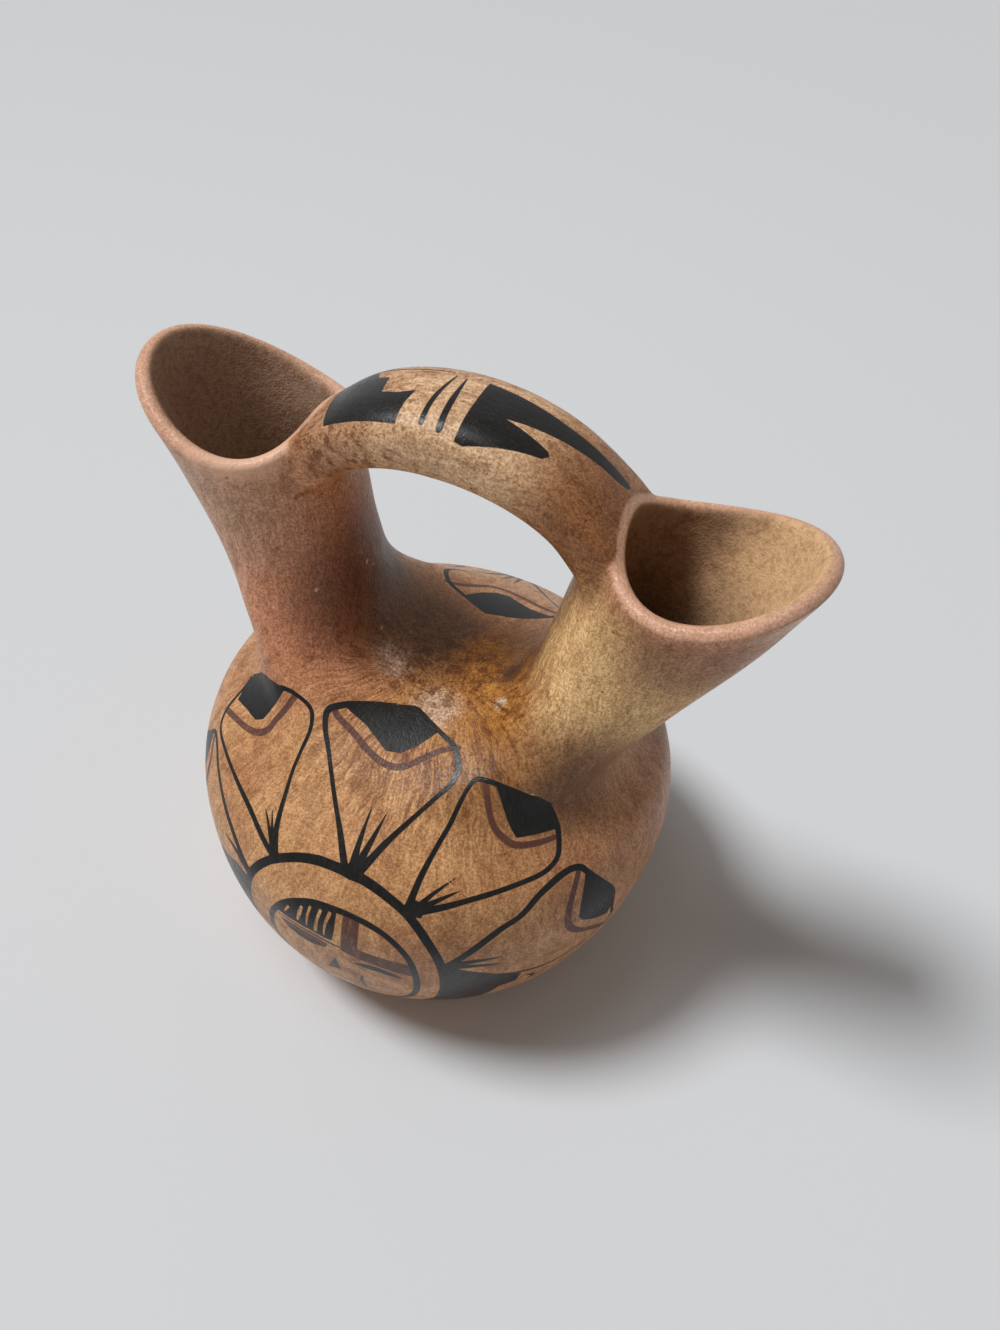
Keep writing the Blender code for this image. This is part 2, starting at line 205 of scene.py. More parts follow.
def build_up(bm, body, neck):
    """Draws the body up ring by ring, parts it along the saddle and draws out both necks."""
    rows = [start_ring(bm, body[0])]
    for k, points in enumerate(body[1:]):
        piece = BASE if k < DISH_RINGS else LOWER_WALL if k < LOWER_RINGS else SHOULDER
        rows.append(draw_out(bm, rows[-1], points, piece))
    shoulder = rows[-1]
    saddle = [bm.verts.new(point) for point in neck[0][QUARTER + 1:2 * QUARTER]]
    line = [shoulder[QUARTER]] + saddle + [shoulder[3 * QUARTER]]
    for a, b in zip(line, line[1:]):
        bm.edges.new((a, b))
    rest = range(2 * QUARTER + 1, AROUND_NECK)
    right = [shoulder[:QUARTER] + line + [shoulder[j + QUARTER] for j in rest]]
    left = [shoulder[2 * QUARTER:QUARTER:-1] + line + [shoulder[5 * QUARTER - j] for j in rest]]
    for k, points in enumerate(neck[1:]):
        lip = k >= LIP_SEAM_RING
        right.append(draw_out(bm, right[-1], points, LIP_RIGHT if lip else NECK_RIGHT))
        left.append(draw_out(bm, left[-1], points * MIRROR, LIP_LEFT if lip else NECK_LEFT))
    return rows, right, left


def label(ring, layer, value):
    for vertex in ring:
        vertex[layer] = value


def places(rings):
    return np.array([[vertex.co for vertex in ring] for ring in rings])


def facing(rings):
    return np.array([[vertex.normal for vertex in ring] for ring in rings])


def shut(bm, ring, drop):
    """Closes the bottom ring with smaller and smaller rings, its middle moved by drop."""
    rim = places([ring])[0]
    for share in (0.86, 0.66, 0.44, 0.22):
        points = rim * [share, share, 1.0] + [0.0, 0.0, drop * (1.0 - share)]
        ring = draw_out(bm, ring, points, BASE)
    bm.faces.new(ring)[bm.faces.layers.int["piece"]] = BASE


def strap_section(share, inner_spring, outer_spring):
    """Middle and half-height of the strap, from its root at 0 to its crown at 1."""
    under = share * math.pi / 2.0
    under_rise = STRAP_TOP - STRAP_THICKNESS - inner_spring[2]
    low = np.array([inner_spring[0] * math.cos(under), 0.0,
                    inner_spring[2] + under_rise * math.sin(under)])
    top_rise = STRAP_TOP - inner_spring[2]
    start = math.asin((outer_spring[2] - inner_spring[2]) / top_rise)
    over = start + (math.pi / 2.0 - start) * share
    high = np.array([outer_spring[0] * math.cos(over) / math.cos(start), 0.0,
                     inner_spring[2] + top_rise * math.sin(over)])
    return (high + low) / 2.0, (high - low) / 2.0


def draw_strap(bm, grid):
    """Opens the neck where the strap is luted on, and draws the strap from there to its crown."""
    marked = bm.verts.layers.float["root"]
    rows, columns = len(grid) - 1, len(grid[0]) - 1
    for row in (grid[0], grid[-1]):
        row[0][marked] = row[-1][marked] = 1.0
    ends = [places([grid[0]])[0][HALF_COLUMNS], places([grid[-1]])[0][HALF_COLUMNS]]
    direction = np.sign(ends[0][0])
    inside_patch = {v for row in grid for v in row}
    patch = [f for f in bm.faces if all(v in inside_patch for v in f.verts)]
    ring = (grid[0][:-1] + [line[-1] for line in grid[:-1]] + grid[-1][:0:-1]
            + [line[0] for line in grid[:0:-1]])
    bmesh.ops.delete(bm, geom=patch, context="FACES")
    turns = [(math.pi + STRAP_CORNER, 2.0 * math.pi - STRAP_CORNER, columns),
             (-STRAP_CORNER, STRAP_CORNER, rows),
             (STRAP_CORNER, math.pi - STRAP_CORNER, columns),
             (math.pi - STRAP_CORNER, math.pi + STRAP_CORNER, rows)]
    angles = np.array([a + (b - a) * k / count for a, b, count in turns for k in range(count)])
    power = 2.0 / STRAP_SQUARENESS
    across = np.sign(np.cos(angles)) * np.abs(np.cos(angles)) ** power
    upward = np.sign(np.sin(angles)) * np.abs(np.sin(angles)) ** power
    side = np.sign(grid[0][-1].co.y)
    root = places([ring])[0]
    springs = [end * [direction, 1.0, 1.0] for end in ends]

    def section(share):
        centre, half_height = strap_section(share, *springs)
        loop = centre + upward[:, None] * half_height
        loop[:, 1] += side * across * STRAP_WIDTH / 2.0
        return loop * [direction, 1.0, 1.0]

    pull = root - section(0.0)
    strap = [ring]
    for k in range(1, STRAP_RINGS + 1):
        share = k / STRAP_RINGS
        points = section(share) + pull * (1.0 - ease(share / ROOT_SHARE))
        strap.append(draw_out(bm, strap[-1], points, HANDLE))
        for name in ("inside", "lip"):
            label(strap[-1], bm.verts.layers.float[name], 0.0)
    return strap


def held_out(bm, passes=4):
    """Moves the cage so that the smooth surface made from it passes through its corners."""
    bm.verts.index_update()
    goal = np.array([v.co for v in bm.verts])
    edges = np.array([[v.index for v in e.verts] for e in bm.edges])
    quads = np.array([[v.index for v in f.verts] for f in bm.faces if len(f.verts) == 4])
    plain = np.array([all(len(f.verts) == 4 for f in v.link_faces) for v in bm.verts])
    count = np.array([len(v.link_edges) for v in bm.verts], float)[:, None]
    cage = goal.copy()
    for _ in range(passes):
        near = np.zeros_like(cage)
        far = np.zeros_like(cage)
        for a, b in ((0, 1), (1, 0)):
            np.add.at(near, edges[:, a], cage[edges[:, b]])
        for a, b in ((0, 2), (1, 3), (2, 0), (3, 1)):
            np.add.at(far, quads[:, a], cage[quads[:, b]])
        # where a Catmull-Clark surface ends up at a corner with that many edges
        limit = (count ** 2 * cage + 4.0 * near + far) / (count * (count + 5.0))
        cage[plain] += (goal - limit)[plain]
    for vertex, point in zip(bm.verts, cage):
        vertex.co = point


def soften(bm, vertices, times=1):
    """Wipes over the clay, so that what was just joined there runs together."""
    for _ in range(times):
        bmesh.ops.smooth_vert(bm, verts=list(vertices), factor=0.5,
                              use_axis_x=True, use_axis_y=True, use_axis_z=True)


cage = bmesh.new()
cage.faces.layers.int.new("piece")
for name in ("inside", "lip", "root"):
    cage.verts.layers.float.new(name)
drawn = through(neck_keys(), NECK_COUNTS)
outer_rows, outer_right, outer_left = build_up(cage, body_rings(), drawn)
blended = set(outer_right[0][QUARTER + 1:2 * QUARTER])
foot_rings = slice(1, 1 + BLENDED_RINGS)
for ring in outer_rows[-2:] + outer_right[foot_rings] + outer_left[foot_rings]:
    blended.update(ring)
soften(cage, blended, 6)
bmesh.ops.recalc_face_normals(cage, faces=cage.faces)
cage.normal_update()
outward = 1.0 if outer_rows[LOWER_RINGS][0].normal.x > 0.0 else -1.0
depth = np.array([FLOOR + (WALL - FLOOR) * ease(k / DISH_RINGS) for k in range(len(outer_rows))])
body_inner = places(outer_rows) - outward * facing(outer_rows) * depth[:, None, None]
body_inner[0, :, 2] = FLOOR
neck_outer = places(outer_right)
neck_inner = neck_outer - outward * facing(outer_right) * WALL
middle = (neck_outer[-1] + neck_inner[-1]) / 2.0
rise = unit(neck_outer[-1] - neck_outer[-2])
across = neck_outer[-1] - middle
height = np.linalg.norm(across, axis=-1, keepdims=True)
rolled = [middle + across * math.cos(a) + rise * height * math.sin(a)
          for a in (math.pi * k / LIP_RINGS for k in range(1, LIP_RINGS))]
inner_rows, inner_right, inner_left = build_up(cage, body_inner, list(neck_inner))

lip_height = cage.verts.layers.float["lip"]
inwardness = cage.verts.layers.float["inside"]
straps = []
for outer, inner, side, piece in ((outer_right, inner_right, 1.0, LIP_RIGHT),
                                  (outer_left, inner_left, -1.0, LIP_LEFT)):
    crest = [outer[-1]]
    for points in rolled:
        crest.append(draw_out(cage, crest[-1], points if side > 0.0 else points * MIRROR, piece))
    last = draw_out(cage, crest[-1], places([inner[-1]])[0], piece)
    for k, ring in enumerate(crest):
        label(ring, inwardness, k / LIP_RINGS)
        label(ring, lip_height, 1.0)
    bmesh.ops.weld_verts(cage, targetmap=dict(zip(last, inner[-1])))
    for rings in (outer, inner):
        for k in range(LIP_BEGINS, len(rings)):
            label(rings[k], lip_height, (k - LIP_BEGINS) / (len(rings) - LIP_BEGINS))
    columns = slice(AROUND_NECK // 2 - HALF_COLUMNS, AROUND_NECK // 2 + HALF_COLUMNS + 1)
    straps.append([ring[columns] for ring in outer[NECK_TOP_RING:] + crest[1:3]])
for ring in inner_rows + inner_right + inner_left:
    label(ring, inwardness, 1.0)
shut(cage, outer_rows[0], FOOT_HOLLOW)
shut(cage, inner_rows[0], 0.0)
right_strap, left_strap = (draw_strap(cage, grid) for grid in straps)
bmesh.ops.weld_verts(cage, targetmap=dict(zip(left_strap[-1], right_strap[-1])))
left_strap[-1] = right_strap[-1]
for strap in (right_strap, left_strap):
    soften(cage, set(strap[0] + strap[1] + strap[2]))
bmesh.ops.recalc_face_normals(cage, faces=cage.faces)
held_out(cage)


def placed(name, data):
    """Puts a mesh, a lamp or a camera into the scene as an object."""
    item = bpy.data.objects.new(name, data)
    bpy.context.scene.collection.objects.link(item)
    return item


mesh = bpy.data.meshes.new("cage")
cage.to_mesh(mesh)
cage.free()
rough = placed("cage", mesh)
smoothing = rough.modifiers.new("smooth", "SUBSURF")
smoothing.levels = smoothing.render_levels = FINENESS
smooth_mesh = bpy.data.meshes.new_from_object(
    rough.evaluated_get(bpy.context.evaluated_depsgraph_get()))
bpy.data.objects.remove(rough)

# Clay built up by hand is never quite round: the wall swells and sinks by a few tenths of a
# millimetre, always inwards from the solid's size, and the inside follows the outside
SWELLING = 0.00045
STANDING_BELOW = 0.003
skin = bmesh.new()
skin.from_mesh(smooth_mesh)
skin.normal_update()
inwardness = skin.verts.layers.float["inside"]
moves = []
for vertex in skin.verts:
    swell = 0.56 + 0.32 * noise.noise(vertex.co * 34.0) + 0.14 * noise.noise(vertex.co * 95.0)
    side = 1.0 - 2.0 * min(max(vertex[inwardness], 0.0), 1.0)
    moves.append(vertex.normal * (-SWELLING * swell * side))
for vertex, move in zip(skin.verts, moves):
    if vertex.co.z > STANDING_BELOW:
        vertex.co += move
    vertex.co.z = max(vertex.co.z, 0.0)
skin.normal_update()
polish = skin.verts.layers.float_vector.new("polish")
for vertex in skin.verts:
    vertex[polish] = vertex.normal


def root_loop(bm, side):
    """Vertices round the strap's root, from its low corner at -Y along its low edge."""
    part = bm.faces.layers.int["piece"]
    marked = bm.verts.layers.float["root"]
    border = [e for e in bm.edges if e.verts[0].co.x * side > 0.0
              and len({f[part] == HANDLE for f in e.link_faces}) == 2]
    beside = {}
    for edge in border:
        a, b = edge.verts
        beside.setdefault(a, []).append(b)
        beside.setdefault(b, []).append(a)
    corners = sorted((v for v in beside if v[marked] > 0.99), key=lambda v: v.co.z)
    first, second = sorted(corners[:2], key=lambda v: v.co.y)
    for onward in beside[first]:
        loop = [first, onward]
        while len(loop) < len(beside):
            a, b = beside[loop[-1]]
            loop.append(a if a is not loop[-2] else b)
        if loop[ROOT_STEPS] is second:
            return loop
    raise RuntimeError("the strap's root has no low edge")


def close_root(bm, side, neck, lip):
    """Lays the wall's own clay across the strap's root, in rows from its low edge up."""
    loop = root_loop(bm, side)
    wide = ROOT_STEPS
    tall = len(loop) // 2 - wide
    low, far = loop[:wide + 1], loop[wide:wide + tall + 1]
    high = loop[wide + tall:2 * wide + tall + 1][::-1]
    near = (loop[2 * wide + tall:] + [loop[0]])[::-1]
    a, b, c, d = (places([chain])[0] for chain in (low, high, near, far))
    s = np.linspace(0.0, 1.0, wide + 1)[:, None]
    row, welded = low, {}
    for k in range(1, tall + 1):
        t = k / tall
        points = ((1.0 - t) * a + t * b + (1.0 - s) * c[k] + s * d[k]
                  - (1.0 - s) * ((1.0 - t) * a[0] + t * b[0]) - s * ((1.0 - t) * a[-1] + t * b[-1]))
        is_neck = k <= (LIP_SEAM_RING - NECK_TOP_RING) * 2 ** FINENESS
        row = draw_out(bm, row, points, neck if is_neck else lip, closed=False)
        for face in {f for vertex in row for f in vertex.link_faces}:
            face[luted] = 1
        welded[row[0]], welded[row[-1]] = near[k], far[k]
    welded.update(zip(row, high))
    bmesh.ops.weld_verts(bm, targetmap=welded)


luted = skin.faces.layers.int.new("luted")
close_root(skin, 1.0, NECK_RIGHT, LIP_RIGHT)
close_root(skin, -1.0, NECK_LEFT, LIP_LEFT)


def edge_loops(bm):
    """The open edges of a mesh, sorted into closed loops."""
    waiting = {e for e in bm.edges if len(e.link_faces) == 1}
    loops = []
    while waiting:
        loop, ahead = [], [waiting.pop()]
        while ahead:
            edge = ahead.pop()
            loop.append(edge)
            touching = {e for v in edge.verts for e in v.link_edges if e in waiting}
            waiting -= touching
            ahead.extend(touching)
        loops.append(loop)
    return loops


def middle_of(loop):
    return sum((v.co for e in loop for v in e.verts), Vector()) / (2 * len(loop))


def cut_out(piece):
    """One piece of clay out of the skin, closed where it meets its neighbours."""
    bm = skin.copy()
    part = bm.faces.layers.int["piece"]
    root = bm.faces.layers.int["luted"]
    others = [f for f in bm.faces if f[part] != piece and not (piece == HANDLE and f[root])]
    bmesh.ops.delete(bm, geom=others, context="FACES")
    loops = edge_loops(bm)
    while loops:
        first = loops.pop()
        other = min(loops, key=lambda loop: (middle_of(loop) - middle_of(first)).length)
        loops.remove(other)
        for face in bmesh.ops.bridge_loops(bm, edges=first + other)["faces"]:
            face[root] = 1
    bmesh.ops.recalc_face_normals(bm, faces=bm.faces)
    return bm


def read_out(items, name, width, kind=np.float32):
    values = np.empty(len(items) * width, kind)
    items.foreach_get(name, values)
    return values


def fired(bm, material, node):
    """Makes the cut piece an object of the vase. Its polished faces keep the skin's normals."""
    root = bm.faces.layers.int["luted"]
    joint = np.array([f[root] for f in bm.faces], bool)
    mesh = bpy.data.meshes.new(node + "_clay")
    bm.to_mesh(mesh)
    bm.free()
    mesh.shade_smooth()
    polished = read_out(mesh.attributes["polish"].data, "vector", 3)
    corner = read_out(mesh.loops, "vertex_index", 1, np.int32)
    normals = unit(polished.reshape(-1, 3))[corner]
    total = read_out(mesh.polygons, "loop_total", 1, np.int32)
    flat = read_out(mesh.polygons, "normal", 3)
    of_joint = np.repeat(joint, total)
    normals[of_joint] = np.repeat(flat.reshape(-1, 3), total, axis=0)[of_joint]
    mesh.normals_split_custom_set(normals.tolist())
    for layer in ("polish", "piece", "luted", "root"):
        mesh.attributes.remove(mesh.attributes[layer])
    mesh.materials.append(material)
    item = placed(node + "_clay", mesh)
    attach(item, "root")
    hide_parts(node)


# Base: the flat-bottomed dish that the potter presses in a shallow mould, the start of the pot.
# It is the same tan earthenware as the rest, rubbed by hands and tables and hardly polished.
class Tone:
    """A number or colour that varies over the clay. Sums of tones add Math nodes."""

    def __init__(self, clay, socket):
        self.clay = clay
        self.socket = socket

    def __add__(self, other):
        return self.clay.sum("ADD", self, other)

    def __sub__(self, other):
        return self.clay.sum("SUBTRACT", self, other)

    def __mul__(self, other):
        return self.clay.sum("MULTIPLY", self, other)

    def __rsub__(self, other):
        return self.clay.sum("SUBTRACT", other, self)

    def __truediv__(self, other):
        return self.clay.sum("DIVIDE", self, other)

    __radd__ = __add__
    __rmul__ = __mul__


class Finish:
    """The node tree of a clay, of the floor or of the room, fed with tones."""

    def __init__(self, owner):
        owner.use_nodes = True
        self.owner = owner
        self.tree = owner.node_tree
        self.surface = self.tree.nodes.get("Principled BSDF") or self.tree.nodes["Background"]

    def node(self, kind, inputs=None, output=0, **settings):
        """Adds a node. Its settings are set first, then the values or links of its sockets."""
        node = self.tree.nodes.new(kind)
        for name, value in settings.items():
            setattr(node, name, value)
        for name, value in (inputs or {}).items():
            self.feed(node.inputs[name], value)
        return Tone(self, node.outputs[output])

    def feed(self, socket, value):
        if isinstance(value, Tone):
            self.tree.links.new(value.socket, socket)
        elif isinstance(value, tuple) and socket.type == "RGBA":
            socket.default_value = (*value, 1.0)
        else:
            socket.default_value = value

    def sum(self, operation, first, second):
        return self.node("ShaderNodeMath", {0: first, 1: second}, operation=operation)

    def vector(self, operation, first, second=None, output=0):
        inputs = {0: first} if second is None else {0: first, 1: second}
        return self.node("ShaderNodeVectorMath", inputs, output, operation=operation)

    def blend(self, share, under, over, how="MIX"):
        return self.node("ShaderNodeMix", {0: share, 6: under, 7: over}, 2, data_type="RGBA",
                         blend_type=how)

    def rise(self, value, low, high):
        """Smooth step from 0 at low to 1 at high."""
        return self.node("ShaderNodeMapRange", {"Value": value, "From Min": low, "From Max": high},
                         interpolation_type="SMOOTHSTEP")

    def fall(self, value, low, high):
        """Smooth step from 1 at low to 0 at high."""
        return 1.0 - self.rise(value, low, high)

    def layer(self, name):
        return self.node("ShaderNodeAttribute", output="Fac", attribute_name=name)


class Clay(Finish):
    """Patterns on fired clay, laid out in metres on the vase."""

    # How far the marks of the polishing stone stray, and where they turn from running up the
    # necks to fanning out over the body
    STRAY = 0.007
    STRAY_SCALE = 60.0
    FAN_RADIUS = 0.045
    NECK_FOOT = (0.101, 0.112)
    SADDLE_REACH = (0.012, 0.030)

    def __init__(self, owner, along_strap=False):
        super().__init__(owner)
        self.place = self.node("ShaderNodeTexCoord", output="Object")
        self.along_strap = along_strap
        wander = self.node("ShaderNodeTexNoise", {"Vector": self.place, "Detail": 2.0,
                                                  "Scale": self.STRAY_SCALE}, output="Color")
        shift = self.vector("MULTIPLY", self.vector("SUBTRACT", wander, (0.5, 0.5, 0.5)),
                            (self.STRAY,) * 3)
        self.hand_led = self.vector("ADD", self.place, shift)
        flat = self.vector("MULTIPLY", self.hand_led, (1.0, 1.0, 0.0))
        reach = self.vector("LENGTH", flat, output="Value")
        height = self.node("ShaderNodeSeparateXYZ", {0: self.hand_led}, "Z")
        outward = self.vector("MULTIPLY", self.vector("NORMALIZE", flat),
                              (self.FAN_RADIUS, self.FAN_RADIUS, 0.0))
        self.fan = self.vector("ADD", outward, self.node("ShaderNodeCombineXYZ", {"Z": reach - height}))
        self.on_neck = self.sum("MAXIMUM", self.rise(height, *self.NECK_FOOT),
                                self.fall(reach, *self.SADDLE_REACH))

    def mottle(self, size, detail=2.0, rough=0.5, place=None):
        """Noise with features of the given size in metres."""
        return self.node("ShaderNodeTexNoise", {"Vector": place or self.place, "Scale": 1.0 / size,
                                                "Detail": detail, "Roughness": rough}, output="Fac")

    def combed(self, width, length, detail=3.0, rough=0.6):
        """Marks of the polishing stone: upright on the necks, fanning down from the top of the body."""
        short = width / length

        def drawn(place, squeeze):
            return self.mottle(width, detail, rough, self.vector("MULTIPLY", place, squeeze))

        if self.along_strap:
            return drawn(self.hand_led, (short, 1.0, 1.0))
        upright, fanned = (drawn(place, (1.0, 1.0, short)) for place in (self.hand_led, self.fan))
        return fanned + (upright - fanned) * self.on_neck

    def dots(self, size, radius, uneven):
        """Sparse ragged specks, one to a cell of the given size."""
        cell = self.node("ShaderNodeTexVoronoi", {"Vector": self.place, "Scale": 1.0 / size},
                         output="Distance")
        share = radius / size
        return self.fall(cell + (uneven - 0.5) * (2.4 * share), share * 0.5, share)

    def near(self, centre, radius, uneven):
        """1 round a place on the pot, and 0 past the radius, with an uneven edge."""
        gap = self.vector("DISTANCE", self.place, centre, "Value")
        return self.fall(gap / radius + (uneven - 0.5) * 0.9, 0.25, 1.0)


TAN = (0.70, 0.375, 0.165)
RUSSET = (0.52, 0.235, 0.098)
ROSE = (0.78, 0.385, 0.235)
RIM_WEAR_AND_HIGHLIGHT = (0.94, 0.570, 0.390)
DARKER = (0.46, 0.36, 0.28)
LIGHTER = (1.30, 1.42, 1.56)
SOOT = (0.050, 0.028, 0.018)
CREAM = (0.90, 0.66, 0.40)
# The left mouth's inside is coloured darker than the right one's, partly as painted shade
INSIDE_LEFT_WITH_SHADE = (0.44, 0.270, 0.175)
INSIDE_RIGHT = (0.80, 0.510, 0.265)
# colour of the painted shade deep in the mouths, also laid on at random as mottling
INSIDE_MOTTLE_AND_SHADE = (0.24, 0.135, 0.080)
RED_SLIP = (0.100, 0.037, 0.029)
BLACK_PAINT = (0.004, 0.0035, 0.003)
THIN_BLACK = (0.012, 0.0105, 0.009)
# Where smoke and flame touched the pot, plus painted shade and highlight: place, reach, colour, strength
CLOUDS_AND_PAINTED_LIGHT = [
    ((-0.006, -0.062, 0.080), 0.046, (0.84, 0.460, 0.210), 0.55),
    ((0.068, -0.012, 0.066), 0.050, (0.70, 0.345, 0.190), 0.70),
    ((0.044, -0.018, 0.132), 0.038, (0.99, 0.650, 0.300), 0.95),
    ((-0.034, -0.016, 0.124), 0.044, (0.76, 0.320, 0.175), 0.90),
    # dark on the right side of the left neck: smoke stain, with painted shade on the side away from the
    # light
    ((-0.022, -0.002, 0.124), 0.034, (0.175, 0.074, 0.042), 0.86),
    # painted shade on the shaded right edge of the left neck
    ((-0.026, 0.014, 0.114), 0.016, (0.120, 0.068, 0.045), 0.75),
    ((0.014, -0.018, 0.101), 0.032, (0.55, 0.240, 0.052), 0.92),
    # dark in the hollow between the necks: smoke stain, and a painted shadow of the left neck
    ((-0.013, 0.006, 0.104), 0.027, (0.23, 0.125, 0.058), 0.84),
    ((0.015, 0.005, 0.104), 0.019, (0.95, 0.410, 0.070), 0.90),
    ((0.020, -0.002, 0.105), 0.0075, (0.16, 0.060, 0.018), 0.80),
    # darker where the right neck meets the shoulder, partly as painted shade
    ((0.048, -0.026, 0.101), 0.026, (0.22, 0.095, 0.038), 0.85),
    ((0.024, -0.034, 0.098), 0.018, (0.32, 0.145, 0.048), 0.70),
    # brown band below the right lip, with painted shade on the neck's outer underside
    ((0.064, -0.022, 0.152), 0.026, (0.38, 0.180, 0.100), 0.80),
    ((0.0, -0.010, 0.182), 0.036, (0.96, 0.640, 0.385), 0.84),
    ((0.034, -0.008, 0.170), 0.026, (0.35, 0.140, 0.050), 0.88),
    ((-0.033, -0.012, 0.174), 0.016, (0.52, 0.285, 0.165), 0.60),
    ((-0.058, -0.020, 0.146), 0.030, (0.76, 0.460, 0.300), 0.80),
    # pale scuffs between the necks, partly painted highlight
    ((-0.013, -0.010, 0.102), 0.0075, (0.90, 0.680, 0.540), 0.55),
    ((0.004, -0.018, 0.100), 0.0090, (0.94, 0.720, 0.560), 0.60),
    ((0.020, -0.013, 0.105), 0.0030, (0.98, 0.800, 0.600), 0.80),
    ((0.052, 0.034, 0.090), 0.034, (0.34, 0.175, 0.100), 0.65),
    ((-0.052, 0.042, 0.060), 0.036, (0.82, 0.550, 0.320), 0.60),
    ((0.036, 0.052, 0.030), 0.030, (0.44, 0.240, 0.140), 0.55),
]
# The same on the lips: a painted highlight on the left lip's front, a browned tip, and the edge where the
# strap joins
LIP_PATCHES = [
    ((-0.048, -0.022, 0.160), 0.020, (0.99, 0.600, 0.400), 0.85),
    ((0.086, -0.006, 0.168), 0.026, (0.52, 0.310, 0.220), 0.70),
    ((0.041, 0.0, 0.168), 0.021, (0.50, 0.260, 0.130), 0.80),
]
# Place and reach of a painted highlight on the left lip's front, and of other marks of the hand and the
# fire
LIP_FRONT_HIGHLIGHT = ((-0.050, -0.023, 0.160), 0.020)
SMOKY_SADDLE = ((0.006, -0.018, 0.102), 0.048)
SCORCHED_ROOT = ((-0.029, -0.010, 0.178), 0.026)
FLAKED_MOUTH = ((-0.050, 0.014, 0.166), 0.024)
# Painted shade inside the mouths: darker below a height, and in the right one a painted shadow of
# the strap and rim towards the strap, along a line that leans out as it rises
SHADE_TO_LIT = (0.132, 0.158)
STRAP_SHADOW_TO_LIT = (0.051, 0.067)
STRAP_SHADOW_LEAN = 0.30
STRAP_SHADOW_HEIGHT = 0.142
# Roughness of clay rubbed with a stone, and height of the marks that the rubbing leaves
POLISHED = 0.38
RELIEF_DEPTH = 0.00028


